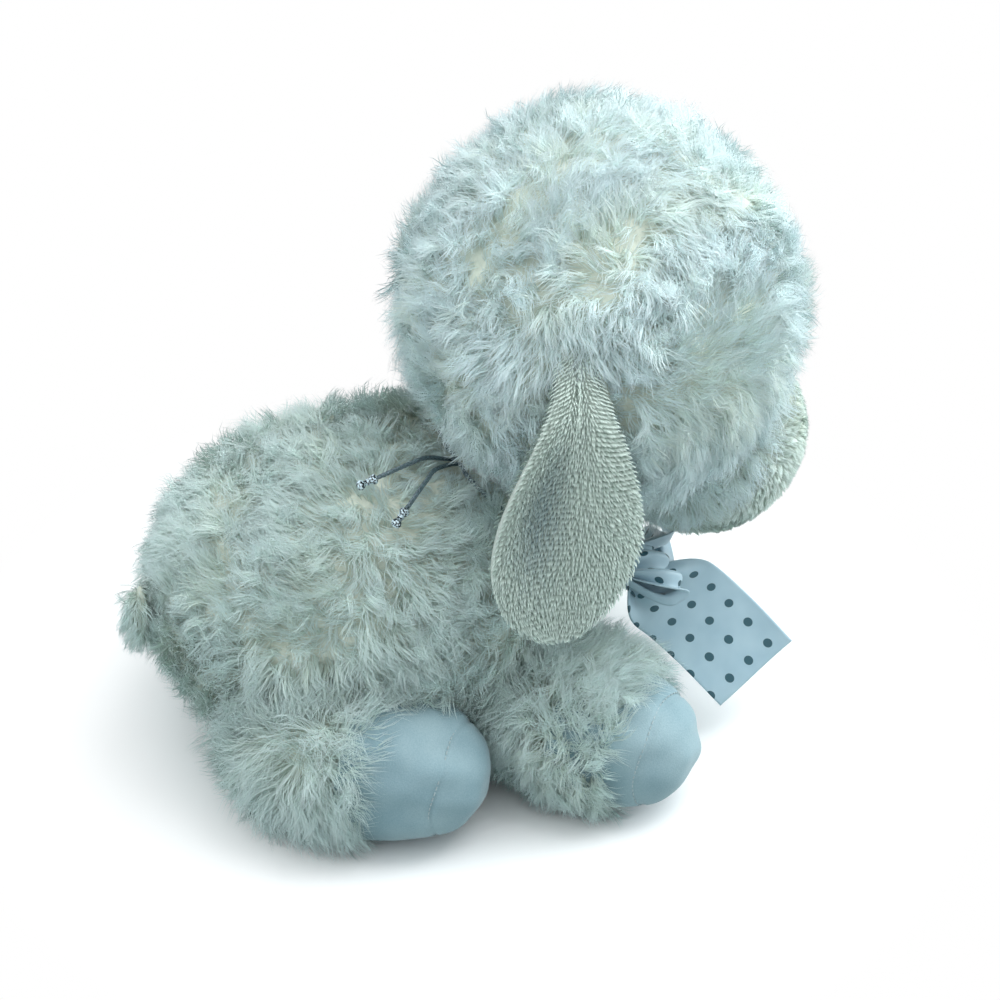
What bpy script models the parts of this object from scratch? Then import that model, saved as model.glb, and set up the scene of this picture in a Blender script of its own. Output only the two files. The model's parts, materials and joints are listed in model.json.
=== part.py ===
"""A plush sheep that lies on its belly with its four legs spread and its head bowed.

The sheep faces -Y, its left side is +X, and it rests on the plane Z = 0. Lengths are in metres.
Every fluffy form is drawn over its pile, as the hand meets it.
"""

import math

import bmesh
import bpy
import numpy as np
from mathutils import Matrix, Vector

MM = 0.001

# Fabrics and clearances
PILE_THICKNESS = 6 * MM
SHORT_PILE_THICKNESS = 2 * MM
GAP = 0.3 * MM
SEAM_SLACK = 0.6 * MM
FLOOR_CUT = 0.5 * MM
BALL_FULLNESS = 2

# Body, over its pile
BODY_LENGTH = 115 * MM
BODY_WIDTH = 92 * MM
BODY_HEIGHT = 88 * MM
BODY_FULLNESS = 2.2
BODY_TAPER_SHARE = -0.04

# Neck
NECK_FORWARD = 36 * MM
NECK_DEPTH = 14 * MM
NECK_WAD_RADIUS = 18 * MM
HEAD_REACH = 24.5 * MM
HEAD_RISE = 49.5 * MM
TURN_DEGREES = 8
NOD_DEGREES = 12

# Head, over its pile
HEAD_WIDTH = 101 * MM
HEAD_DEPTH = 100 * MM
HEAD_HEIGHT = 100 * MM
HEAD_FULLNESS = 2.1
HEAD_BOW_DEGREES = 45

# Face, a bare ball of short pile that stands out of the head
FACE_WIDTH = 54 * MM
FACE_DEPTH = 54 * MM
FACE_HEIGHT = 54 * MM
FACE_FULLNESS = 2.1
FACE_REACH = 49.5 * MM
FACE_DROP_DEGREES = 57

# Eyes with their posts and washers, nose and mouth
EYE_RADIUS = 3 * MM
EYE_BULGE = 2 * MM
EYE_SINK = 1.2 * MM
EYE_SIDE_DEGREES = 20
EYE_RISE_DEGREES = 9
POST_RADIUS = 1.3 * MM
POST_LENGTH = 9 * MM
WASHER_RADIUS = 4.5 * MM
WASHER_THICKNESS = 1.2 * MM
WASHER_CLEARANCE = 1.8 * MM
EYE_STEPS = 5
NOSE_WIDTH = 10 * MM
NOSE_HEIGHT = 6 * MM
NOSE_DEPTH = 3 * MM
NOSE_DROP_DEGREES = 15
MOUTH_THREAD_RADIUS = 0.6 * MM
MOUTH_SIDE_DEGREES = 16
MOUTH_DROP_DEGREES = 35
MOUTH_SAG_DEGREES = 6
MOUTH_POINTS = 17

# Ears
EAR_LENGTH = 72 * MM
EAR_WIDTH = 36 * MM
EAR_ROOT_WIDTH = 11 * MM
EAR_THICKNESS = 5 * MM
EAR_EDGE_THICKNESS = 1.2 * MM
EAR_CUP = 3 * MM
EAR_BEHIND = 19 * MM
EAR_ABOVE = 17 * MM
EAR_SPREAD = 8 * MM
RIGHT_EAR_SWEEP = 8 * MM
LEFT_EAR_SWEEP = -6 * MM
EAR_STAND_OFF = 3 * MM
EAR_WIDEST_SHARE = 0.66
EAR_ROOT_POWER = 1.5
EAR_LIFT_DEGREES = 60
# The places of its middle line, as shares of its spread, its sweep and its length
EAR_HANG_SHARES = [(-0.2, 0, 0), (0.58, 0.3, 0.22), (0.98, 0.65, 0.6), (1, 1, 1)]

# Legs: how far forward of the body's middle and inside or outside of its flank they lie, and how thick they are
HIND_ROOT_FORWARD = -37.5 * MM
HIND_ROOT_INSIDE = 25 * MM
HIND_TOE_FORWARD = 17.5 * MM
HIND_TOE_OUTSIDE = 11 * MM
HIND_THICKNESS = 41 * MM
HIND_TOE_SHARE = 0.16
FRONT_ROOT_FORWARD = 21.5 * MM
FRONT_ROOT_INSIDE = 26 * MM
FRONT_TOE_FORWARD = 69.5 * MM
FRONT_TOE_OUTSIDE = 15 * MM
FRONT_THICKNESS = 38 * MM
FRONT_TOE_SHARE = 0.08
LEG_FULLNESS = 2.5
LEG_ROOT_DEGREES = -77
FOOT_LENGTH = 27 * MM
HIP_INSET = 3 * MM
HIND_SWING_DEGREES = 10
FRONT_SWING_DEGREES = 5

# Tail
TAIL_LENGTH = 20 * MM
TAIL_WIDTH = 15 * MM
TAIL_THICKNESS = 9 * MM
TAIL_BELOW_TOP = 34 * MM
TAIL_LEAN_DEGREES = 4
TAIL_INSET = 4 * MM
TAIL_TAPER_SHARE = 0.2
TAIL_LIFT_DEGREES = 30

# Neck elastic with a crimped barb on each end, its free ends lying on the pile of the back
ELASTIC_DIAMETER = 1.2 * MM
ELASTIC_BACK_FORWARD = 17 * MM
ELASTIC_LEAN_DEGREES = 41
ELASTIC_END_SIDE_DEGREES = 25
ELASTIC_END_SPREAD_DEGREES = 2.5
FIRST_END_LEAN_DEGREES = 21
SECOND_END_LEAN_DEGREES = 46
ELASTIC_END_LENGTH = 18 * MM
ELASTIC_END_SHARES = (0.2, 0.5, 1.0)
ELASTIC_RING_POINTS = 36
ELASTIC_POINTS = 78
BARB_LENGTH = 5.5 * MM
BARB_RADIUS = 1.3 * MM
# The barb's radius and the place along it, as shares of its largest radius and its length
BARB_PROFILE_SHARES = [(0.62, 0), (1, 0.12), (0.62, 0.4), (0.62, 0.66), (1, 0.8)]

# Ribbon bow, its knot on the elastic; the shares are of the ribbon's width, to the side, forward and up
RIBBON_WIDTH = 25 * MM
RIBBON_THICKNESS = 0.5 * MM
LOOP_WIDTH = 16 * MM
GATHERED_WIDTH = 6 * MM
KNOT_SIDE_DEGREES = 146
KNOT_WIDTH = 9 * MM
KNOT_HEIGHT = 14 * MM
KNOT_DEPTH = 7 * MM
KNOT_FULLNESS = 3
RIGHT_LOOP_SHARES = [(-0.16, 0.14, -0.03), (-0.26, 0.32, 0.04), (-0.29, 0.48, 0.04), (-0.27, 0.62, -0.06),
                     (-0.28, 0.47, -0.16), (-0.22, 0.3, -0.16), (-0.14, 0.14, -0.12)]
RIGHT_LOOP_ACROSS_SHARES = (-0.94, 0.25, -0.26)
LEFT_LOOP_SHARES = [(0.06, 0.16, -0.02), (0.4, 0.6, -0.22), (0.75, 0.67, -0.38), (0.92, 0.66, -0.54),
                    (0.74, 0.65, -0.67), (0.4, 0.56, -0.54), (0.06, 0.2, -0.14)]
LEFT_LOOP_ACROSS_SHARES = (0, 1, 0.1)
RIGHT_END_SHARES = [(-0.12, 0.28, -0.23), (-0.22, 0.6, -0.5), (-0.36, 0.92, -0.88), (-0.56, 1.3, -1.34)]
RIGHT_END_ACROSS_SHARES = (0.2, 0.83, 0.52)
LEFT_END_SHARES = [(0.04, 0.04, -0.22), (0.36, 0.17, -0.52), (0.6, 0.28, -1.0), (0.72, 0.4, -1.4)]
LEFT_END_ACROSS_SHARES = (1, 0, 0.1)
GATHER_RUN_SHARE = 0.35
LOOP_POINTS = 15
END_POINTS = 9

# Fleece, whose locks stand in soft lumps
LOCK_SPACING = 13 * MM
LOCK_DEPTH = 2.5 * MM
LOCK_FADE_HEIGHT = 32 * MM
# The highest that three crossed waves add up to
LOCK_WAVE_HEIGHT = 1.5

# How finely the forms are divided and measured
HALVINGS = 40
FLEECE_MERIDIANS = 48
FLEECE_RINGS = 24
FINE_MERIDIANS = 26
FINE_RINGS = 16
MERIDIANS = 20
RINGS = 12
LEG_MERIDIANS = 16
SLEEVE_RINGS = 7
FOOT_RINGS = 6
SMALL_MERIDIANS = 12
SMALL_RINGS = 8
EAR_RINGS = 12
EAR_COLUMNS = 7

# Colours
PILE_COLOUR = (0.86, 0.85, 0.78)
SHORT_PILE_COLOUR = (0.78, 0.76, 0.66)
FOOT_COLOUR = (0.74, 0.78, 0.78)
FILLING_COLOUR = (0.92, 0.92, 0.92)
SATIN_COLOUR = (0.72, 0.78, 0.8)
SILVER_COLOUR = (0.75, 0.76, 0.78)
EYE_COLOUR = (0.02, 0.02, 0.02)
THREAD_COLOUR = (0.35, 0.24, 0.2)


def spot(side, forward, height):
    """A place seen from the middle of the body's footprint: side is the sheep's left."""
    return np.array([side, -forward, height])


def turn(axis, degrees):
    """The rotation about an axis, as a 3 by 3 array."""
    return np.array(Matrix.Rotation(math.radians(degrees), 3, Vector(axis)))


def facing(direction, up=(0, 0, 1)):
    """Axes whose second one runs along a direction, as the columns of an array."""
    along = np.array(Vector(direction).normalized())
    side = np.cross(along, np.array(up, dtype=float))
    side /= np.linalg.norm(side)
    return np.column_stack([side, along, np.cross(side, along)])


class Form:
    """A soft closed form between a ball and a block, which may taper along its own Y axis."""

    def __init__(self, centre, half_sizes, fullness, axes=None, taper=0.0):
        self.centre = np.array(centre, dtype=float)
        self.half = np.array(half_sizes, dtype=float)
        self.fullness = fullness
        self.axes = np.eye(3) if axes is None else np.array(axes)
        self.taper = taper

    def grown(self, amount):
        """The same form, larger all round by an amount, or smaller where it is negative."""
        return Form(self.centre, self.half + amount, self.fullness, self.axes, self.taper)

    def width_at(self, share):
        """How wide the taper leaves the form at a share of its half length."""
        return 1 + self.taper * share

    def surface(self, directions):
        """The points of the surface that belong to directions in the form's own axes."""
        powers = np.abs(directions / self.half) ** self.fullness
        points = directions / (powers.sum(axis=1) ** (1 / self.fullness))[:, None]
        width = self.width_at(points[:, 1] / self.half[1])[:, None]
        points = points * np.hstack([width, np.ones_like(width), width])
        return points @ self.axes.T + self.centre

    def holds(self, points):
        """Whether each point lies inside the form."""
        own = (points - self.centre) @ self.axes
        width = np.maximum(self.width_at(np.clip(own[:, 1] / self.half[1], -1, 1)), GAP)
        sizes = self.half * np.column_stack([width, np.ones_like(width), width])
        shares = own / sizes
        return (np.abs(shares) ** self.fullness).sum(axis=1) < 1

    def reach(self, origin, directions):
        """How far each ray from a point inside the form runs to its surface."""
        near = np.zeros(len(directions))
        far = np.full(len(directions), 4 * self.half.max())
        for _ in range(HALVINGS):
            middle = (near + far) / 2
            inside = self.holds(origin + directions * middle[:, None])
            near = np.where(inside, middle, near)
            far = np.where(inside, far, middle)
        return near


def round_grid(latitudes, meridians):
    """Unit directions ring by ring, the poles on the Y axis."""
    longitudes = 2 * math.pi * np.arange(meridians) / meridians
    rings = []
    for latitude in latitudes:
        ring = np.column_stack([
            math.cos(latitude) * np.cos(longitudes),
            np.full(meridians, math.sin(latitude)),
            math.cos(latitude) * np.sin(longitudes),
        ])
        rings.append(ring)
    return rings


def stretch_of(first, last, count):
    """Evenly spaced latitudes between two, both included."""
    return np.linspace(first, last, count)


def skin_rings(rings, ends):
    """A closed mesh over a row of rings, its ends closed by the points given, or else by flat faces."""
    mesh = bmesh.new()
    rows = [[mesh.verts.new(point) for point in ring] for ring in rings]
    for row, following in zip(rows, rows[1:]):
        for here in range(len(row)):
            there = (here + 1) % len(row)
            mesh.faces.new([row[here], row[there], following[there], following[here]])
    for row, end in zip((rows[0], rows[-1]), ends):
        if end is None:
            mesh.faces.new(row)
            continue
        tip = mesh.verts.new(end)
        for here in range(len(row)):
            mesh.faces.new([row[here], row[(here + 1) % len(row)], tip])
    bmesh.ops.recalc_face_normals(mesh, faces=mesh.faces)
    return mesh


def form_mesh(form, meridians=MERIDIANS, rings=RINGS):
    """The whole form as one closed mesh."""
    latitudes = stretch_of(-math.pi / 2, math.pi / 2, rings + 1)[1:-1]
    points = [form.surface(ring) for ring in round_grid(latitudes, meridians)]
    poles = form.surface(np.array([[0, -1.0, 0], [0, 1.0, 0]]))
    return skin_rings(points, poles)


def fleece_mesh(form):
    """The form with its surface drawn in between the locks, less and less towards the floor."""
    latitudes = stretch_of(-math.pi / 2, math.pi / 2, FLEECE_RINGS + 1)[1:-1]
    poles = np.array([[0, -1.0, 0], [0, 1.0, 0]])

    def drawn_in(directions):
        points = form.surface(directions)
        x, y, z = ((points - form.centre) @ form.axes * math.sqrt(2) * math.pi / LOCK_SPACING).T
        waves = np.sin(x) * np.cos(y) + np.sin(y) * np.cos(z) + np.sin(z) * np.cos(x)
        between = (1 - waves / LOCK_WAVE_HEIGHT) / 2
        fade = np.clip(points[:, 2] / LOCK_FADE_HEIGHT, 0, 1)
        inward = form.centre - points
        inward /= np.linalg.norm(inward, axis=1)[:, None]
        return points + inward * (LOCK_DEPTH * between * fade)[:, None]

    return skin_rings([drawn_in(ring) for ring in round_grid(latitudes, FLEECE_MERIDIANS)], drawn_in(poles))


def shell_mesh(form, thickness, first, last, meridians=MERIDIANS, rings=RINGS):
    """The wall of a form between two latitudes, or a cap to its pole where there is no last one."""
    inner = form.grown(-thickness)
    capped = last is None
    latitudes = stretch_of(first, math.pi / 2 if capped else last, rings + 1)
    if capped:
        latitudes = latitudes[:-1]
    mesh = bmesh.new()
    layers = []
    for layer in (form, inner):
        grid = round_grid(latitudes, meridians)
        layers.append([[mesh.verts.new(point) for point in layer.surface(ring)] for ring in grid])
    for rows in layers:
        for row, following in zip(rows, rows[1:]):
            for here in range(meridians):
                there = (here + 1) % meridians
                mesh.faces.new([row[here], row[there], following[there], following[here]])
    rims = [0] if capped else [0, -1]
    for rim in rims:
        outer_row = layers[0][rim]
        inner_row = layers[1][rim]
        for here in range(meridians):
            there = (here + 1) % meridians
            mesh.faces.new([outer_row[here], outer_row[there], inner_row[there], inner_row[here]])
    if capped:
        for layer, rows in zip((form, inner), layers):
            tip = mesh.verts.new(layer.surface(np.array([[0, 1.0, 0]]))[0])
            for here in range(meridians):
                mesh.faces.new([rows[-1][here], rows[-1][(here + 1) % meridians], tip])
    bmesh.ops.recalc_face_normals(mesh, faces=mesh.faces)
    return mesh


def sweep_mesh(form, pivot, poses, clearance, middle, meridians=FINE_MERIDIANS, rings=FINE_RINGS):
    """All the room that a form takes, as a piece that turns about a pivot meets it in its poses.

    The middle is a point that the form holds in every pose.
    """
    latitudes = stretch_of(-math.pi / 2, math.pi / 2, rings + 1)[1:-1]
    poles = np.array([[0, -1.0, 0], [0, 1.0, 0]])
    grid = round_grid(latitudes, meridians)

    def hull(directions):
        reaches = [form.reach(pivot + pose @ (middle - pivot), directions @ pose.T) for pose in poses]
        return middle + directions * (np.max(reaches, axis=0) + clearance)[:, None]

    return skin_rings([hull(ring) for ring in grid], hull(poles))


def lathe_mesh(profile, base, direction, meridians=SMALL_MERIDIANS):
    """A turned solid: profile gives (radius, distance along the direction), with a point at each end."""
    axes = facing(direction, up=(1, 0, 0))
    ring = round_grid([0.0], meridians)[0]
    rings = [base + (ring * radius + [0, along, 0]) @ axes.T for radius, along in profile[1:-1]]
    tips = [base + axes[:, 1] * profile[0][1], base + axes[:, 1] * profile[-1][1]]
    return skin_rings(rings, tips)


def ring_mesh(hole, radius, back, front, base, direction):
    """A flat washer."""
    axes = facing(direction, up=(1, 0, 0))
    ring = round_grid([0.0], SMALL_MERIDIANS)[0]
    mesh = bmesh.new()
    rows = []
    for size, along in ((hole, back), (radius, back), (radius, front), (hole, front)):
        rows.append([mesh.verts.new(point) for point in base + (ring * size + [0, along, 0]) @ axes.T])
    for row, following in zip(rows, rows[1:] + rows[:1]):
        for here in range(SMALL_MERIDIANS):
            there = (here + 1) % SMALL_MERIDIANS
            mesh.faces.new([row[here], row[there], following[there], following[here]])
    bmesh.ops.recalc_face_normals(mesh, faces=mesh.faces)
    return mesh


def strip_mesh(points, across, widths, thickness):
    """A flat strip along a row of points, its widths along one direction."""
    along = np.gradient(points, axis=0)
    face = np.cross(along, across)
    face /= np.linalg.norm(face, axis=1)[:, None]
    corners = [(1, 1), (-1, 1), (-1, -1), (1, -1)]
    rings = []
    for point, normal, width in zip(points, face, widths):
        rings.append([point + across * width / 2 * a + normal * thickness / 2 * b for a, b in corners])
    return skin_rings(rings, (None, None))


def smooth_path(points, shares):
    """Points at shares of a curve that eases through the given ones."""
    points = np.array(points)
    padded = np.vstack([2 * points[0] - points[1], points, 2 * points[-1] - points[-2]])
    result = []
    for place in np.array(shares) * (len(points) - 1):
        leg = min(int(place), len(points) - 2)
        t = place - leg
        a, b, c, d = padded[leg:leg + 4]
        result.append((2 * b + (c - a) * t + (2 * a - 5 * b + 4 * c - d) * t ** 2
                       + (3 * b - a - 3 * c + d) * t ** 3) / 2)
    return np.array(result)


def material(name, colour, roughness=0.9, metallic=0.0):
    """A plain finish of one colour."""
    finish = bpy.data.materials.new(name)
    finish.use_nodes = True
    shader = finish.node_tree.nodes["Principled BSDF"]
    shader.inputs["Base Color"].default_value = (*colour, 1)
    shader.inputs["Roughness"].default_value = roughness
    shader.inputs["Metallic"].default_value = metallic
    return finish


def pivot_empty(name, place, parent=None):
    """An empty on a joint's axis, which carries the pieces that turn about it."""
    empty = bpy.data.objects.new(name, None)
    bpy.context.scene.collection.objects.link(empty)
    empty.location = place
    if parent is not None:
        empty.parent = parent
        empty.location -= parent.matrix_world.translation
    bpy.context.view_layer.update()
    return empty


def add_piece(name, mesh, finish, parent):
    """One named piece of the sheep, its origin on the empty that carries it."""
    data = bpy.data.meshes.new(name)
    origin = parent.matrix_world.translation
    bmesh.ops.translate(mesh, verts=mesh.verts, vec=-origin)
    mesh.to_mesh(data)
    mesh.free()
    data.materials.append(finish)
    data.shade_smooth()
    piece = bpy.data.objects.new(name, data)
    bpy.context.scene.collection.objects.link(piece)
    piece.parent = parent
    return piece


def add_cutter(name, mesh, parent):
    """A guide solid that only cuts its neighbours."""
    cutter = add_piece(name, mesh, CUTTER_FINISH, parent)
    cutter.hide_render = True
    cutter.display_type = "WIRE"
    return cutter


def cut(piece, *cutters):
    """Take the cutters' room out of a piece."""
    for cutter in cutters:
        modifier = piece.modifiers.new(cutter.name, "BOOLEAN")
        modifier.operation = "DIFFERENCE"
        modifier.solver = "EXACT"
        modifier.object = cutter


def clear_scene():
    """Start from an empty scene."""
    for leftover in list(bpy.data.objects):
        bpy.data.objects.remove(leftover, do_unlink=True)


clear_scene()
CUTTER_FINISH = material("guide", FILLING_COLOUR)
PILE = material("long_pile", PILE_COLOUR)
SHORT_PILE = material("short_pile", SHORT_PILE_COLOUR)
FOOT_PILE = material("foot_velour", FOOT_COLOUR, roughness=0.8)
FILLING = material("filling", FILLING_COLOUR)
SATIN = material("satin", SATIN_COLOUR, roughness=0.4)
SILVER = material("silver", SILVER_COLOUR, roughness=0.3, metallic=1.0)
EYE_PLASTIC = material("eye_plastic", EYE_COLOUR, roughness=0.1)
THREAD = material("thread", THREAD_COLOUR, roughness=0.7)

# Where the main forms lie
BODY_MIDDLE = spot(0, 0, BODY_HEIGHT / 2 - FLOOR_CUT)
BODY_FORM = Form(BODY_MIDDLE, (BODY_WIDTH / 2, BODY_LENGTH / 2, BODY_HEIGHT / 2), BODY_FULLNESS,
                 taper=BODY_TAPER_SHARE)
UP = np.array([0, 0, 1.0])
SIDEWAYS = np.array([1.0, 0, 0])
FORWARD = np.array([0, -1.0, 0])


def body_top(forward):
    """The body's top on its middle line."""
    middle = spot(0, forward, BODY_MIDDLE[2])
    return middle + UP * BODY_FORM.reach(middle, UP[None])[0]


NECK_PIVOT = body_top(NECK_FORWARD) - UP * NECK_DEPTH
NECK_WAD_FORM = Form(NECK_PIVOT, [NECK_WAD_RADIUS] * 3, BALL_FULLNESS)
HEAD_MIDDLE = NECK_PIVOT + spot(0, HEAD_REACH, HEAD_RISE)
NECK_AXIS = (HEAD_MIDDLE - NECK_PIVOT) / np.linalg.norm(HEAD_MIDDLE - NECK_PIVOT)
HEAD_AXES = turn(SIDEWAYS, HEAD_BOW_DEGREES)
HEAD_FORM = Form(HEAD_MIDDLE, (HEAD_WIDTH / 2, HEAD_DEPTH / 2, HEAD_HEIGHT / 2), HEAD_FULLNESS, HEAD_AXES)
FACE_DIRECTION = turn(SIDEWAYS, FACE_DROP_DEGREES) @ FORWARD
FACE_MIDDLE = HEAD_MIDDLE + FACE_DIRECTION * FACE_REACH
FACE_FORM = Form(FACE_MIDDLE, (FACE_WIDTH / 2, FACE_DEPTH / 2, FACE_HEIGHT / 2), FACE_FULLNESS, HEAD_AXES)

SHEEP = pivot_empty("sheep", (0, 0, 0))


def floor_cutter():
    """A slab whose top is the plane that the sheep lies on."""
    reach = BODY_LENGTH + HEAD_DEPTH
    slab = bmesh.new()
    bmesh.ops.create_cube(slab, size=1)
    bmesh.ops.scale(slab, verts=slab.verts, vec=(reach * 2, reach * 2, BODY_HEIGHT))
    bmesh.ops.translate(slab, verts=slab.verts, vec=(0, 0, -BODY_HEIGHT / 2))
    return add_cutter("floor_cutter", slab, SHEEP)


FLOOR = floor_cutter()


def make_body():
    """The body's skin, open at the neck, and the filling inside it."""
    wad_room = NECK_WAD_FORM.grown(GAP + SEAM_SLACK)
    wad_cutter = add_cutter("neck_wad_cutter", form_mesh(wad_room), SHEEP)
    hollow = add_cutter("body_hollow", form_mesh(BODY_FORM.grown(-PILE_THICKNESS)), SHEEP)
    skin = add_piece("body_skin", fleece_mesh(BODY_FORM), PILE, SHEEP)
    cut(skin, hollow, wad_cutter, FLOOR)
    filling = add_piece("body_filling", form_mesh(BODY_FORM.grown(-PILE_THICKNESS - GAP - SEAM_SLACK)),
                        FILLING, SHEEP)
    cut(filling, wad_cutter)
    return wad_cutter


WAD_CUTTER = make_body()
NECK = pivot_empty("neck_pivot", NECK_PIVOT, SHEEP)
HEAD = pivot_empty("head_pivot", NECK_PIVOT, NECK)


def head_poses():
    """How the body turns as the head sees it, for every nod and turn."""
    poses = []
    for turned in (-TURN_DEGREES, -TURN_DEGREES / 2, 0, TURN_DEGREES / 2, TURN_DEGREES):
        for nodded in (0, NOD_DEGREES / 2, NOD_DEGREES):
            poses.append(turn(NECK_AXIS, turned) @ turn(SIDEWAYS, -nodded))
    return poses


def make_head():
    """The head's long pile skin, its bare face and what fills them, cut where the neck and body are."""
    add_piece("neck_filling", form_mesh(NECK_WAD_FORM), FILLING, NECK)
    room = BARB_RADIUS * 2 + SEAM_SLACK
    body_sweep = sweep_mesh(BODY_FORM, NECK_PIVOT, head_poses(), room, BODY_MIDDLE)
    body_room = add_cutter("body_room", body_sweep, HEAD)
    face_room = add_cutter("face_room", form_mesh(FACE_FORM.grown(GAP)), HEAD)
    hollow = add_cutter("head_hollow", form_mesh(HEAD_FORM.grown(-PILE_THICKNESS)), HEAD)
    filling_room = add_cutter("head_filling_room", form_mesh(HEAD_FORM.grown(-PILE_THICKNESS + GAP)), HEAD)
    face_hollow = add_cutter("face_hollow", form_mesh(FACE_FORM.grown(-SHORT_PILE_THICKNESS)), HEAD)

    skin = add_piece("head_skin", fleece_mesh(HEAD_FORM), PILE, HEAD)
    cut(skin, hollow, face_room, WAD_CUTTER, body_room)
    filling_form = HEAD_FORM.grown(-PILE_THICKNESS - GAP - SEAM_SLACK)
    filling = add_piece("head_filling", form_mesh(filling_form), FILLING, HEAD)
    cut(filling, body_room, WAD_CUTTER)
    face = add_piece("face_panel", form_mesh(FACE_FORM), SHORT_PILE, HEAD)
    cut(face, face_hollow, filling_room, body_room)
    inset = SHORT_PILE_THICKNESS + GAP + SEAM_SLACK
    face_filling = add_piece("face_filling", form_mesh(FACE_FORM.grown(-inset)), FILLING, HEAD)
    cut(face_filling, filling_room, body_room)
    return face, face_filling


FACE, FACE_FILLING = make_head()


def face_spot(side_degrees, rise_degrees, stand_off=0.0):
    """A place on the face and the way out of it."""
    out = HEAD_AXES @ turn(UP, side_degrees) @ turn(SIDEWAYS, -rise_degrees) @ FORWARD
    return FACE_MIDDLE + out * (FACE_FORM.reach(FACE_MIDDLE, out[None])[0] + stand_off), out


def make_eye(name, side):
    """A glossy bead on a ribbed post, locked by a washer behind the face."""
    seat, out = face_spot(side * EYE_SIDE_DEGREES, EYE_RISE_DEGREES)
    base = seat - out * EYE_SINK
    angles = np.linspace(0, math.pi / 2, EYE_STEPS + 1)[:-1]
    dome = [(EYE_RADIUS * math.cos(angle), EYE_BULGE * math.sin(angle)) for angle in angles]
    profile = [(0, -POST_LENGTH), (POST_RADIUS, -POST_LENGTH), (POST_RADIUS, 0), *dome, (0, EYE_BULGE)]
    add_piece("eye_" + name, lathe_mesh(profile, base, out), EYE_PLASTIC, HEAD)

    washer_front = -(SHORT_PILE_THICKNESS + WASHER_CLEARANCE)
    washer_back = washer_front - WASHER_THICKNESS
    hole = POST_RADIUS + GAP / 2
    washer = ring_mesh(hole, WASHER_RADIUS, washer_back, washer_front, seat, out)
    add_piece("eye_washer_" + name, washer, EYE_PLASTIC, HEAD)

    room = POST_RADIUS + GAP
    over = POST_LENGTH
    eye_room = [(0, -POST_LENGTH - GAP - over), (room, -POST_LENGTH - GAP - over), (room, -GAP),
                (EYE_RADIUS + GAP, -GAP), (EYE_RADIUS + GAP, over), (0, over)]
    eye_cutter = add_cutter("eye_room_" + name, lathe_mesh(eye_room, base, out), HEAD)
    edge = WASHER_RADIUS + GAP
    washer_room = [(0, washer_back - GAP), (edge, washer_back - GAP), (edge, washer_front + over),
                   (0, washer_front + over)]
    washer_cutter = add_cutter("eye_washer_room_" + name, lathe_mesh(washer_room, seat, out), HEAD)
    cut(FACE, eye_cutter)
    cut(FACE_FILLING, washer_cutter, eye_cutter)


def make_nose_and_mouth():
    """The stitched nose and the line of thread below it."""
    seat, out = face_spot(0, -NOSE_DROP_DEGREES)
    axes = np.column_stack([SIDEWAYS, -out, np.cross(SIDEWAYS, -out)])
    pad = Form(seat, (NOSE_WIDTH / 2, NOSE_DEPTH / 2, NOSE_HEIGHT / 2), BALL_FULLNESS, axes)
    nose = add_piece("nose", form_mesh(pad, SMALL_MERIDIANS, SMALL_RINGS), THREAD, HEAD)
    face_room = add_cutter("nose_seat", form_mesh(FACE_FORM.grown(GAP)), HEAD)
    cut(nose, face_room)

    route = []
    stand_off = MOUTH_THREAD_RADIUS + GAP + GAP
    for share in np.linspace(-1, 1, MOUTH_POINTS):
        drop = MOUTH_DROP_DEGREES - MOUTH_SAG_DEGREES * (1 - math.cos(2 * math.pi * share))
        place, _ = face_spot(share * MOUTH_SIDE_DEGREES, -drop, stand_off)
        route.append(place)
    add_thread("mouth_thread", route, MOUTH_THREAD_RADIUS, THREAD, HEAD)


def add_thread(name, route, radius, finish, parent):
    """A round thread along a route."""
    curve = bpy.data.curves.new(name, "CURVE")
    curve.dimensions = "3D"
    spline = curve.splines.new("POLY")
    spline.points.add(len(route) - 1)
    origin = np.array(parent.matrix_world.translation)
    for point, place in zip(spline.points, route):
        point.co = (*(place - origin), 1)
    curve.bevel_depth = radius
    curve.bevel_resolution = 2
    curve.use_fill_caps = True
    curve.materials.append(finish)
    thread = bpy.data.objects.new(name, curve)
    bpy.context.scene.collection.objects.link(thread)
    thread.parent = parent
    return thread


for eye_name, eye_side in (("left", 1), ("right", -1)):
    make_eye(eye_name, eye_side)
make_nose_and_mouth()


def ear_half_width(share):
    """Half the ear's width at a share of its length: a teardrop with a round tip."""
    if share < EAR_WIDEST_SHARE:
        ease = math.sin(math.pi / 2 * share / EAR_WIDEST_SHARE) ** EAR_ROOT_POWER
        return (EAR_ROOT_WIDTH + (EAR_WIDTH - EAR_ROOT_WIDTH) * ease) / 2
    past = (share - EAR_WIDEST_SHARE) / (1 - EAR_WIDEST_SHARE)
    return EAR_WIDTH / 2 * math.sqrt(max(1 - past ** 2, 0))


def ear_route(side, sweep):
    """The ear's middle line, from its root over the cheek to its hanging tip."""
    level = spot(0, -EAR_BEHIND, EAR_ABOVE)
    out = side * SIDEWAYS
    root = HEAD_MIDDLE + level + out * HEAD_FORM.reach(HEAD_MIDDLE + level, out[None])[0]
    root_side = root + out * EAR_STAND_OFF
    hang = []
    for spread_share, sweep_share, length_share in EAR_HANG_SHARES:
        fall = spot(0, -sweep * sweep_share, -EAR_LENGTH * length_share)
        hang.append(root_side + out * EAR_SPREAD * spread_share + fall)
    shares = [1 - (1 - step / EAR_RINGS) ** EAR_ROOT_POWER for step in range(EAR_RINGS + 1)]
    return root, smooth_path(hang, shares), shares


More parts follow.
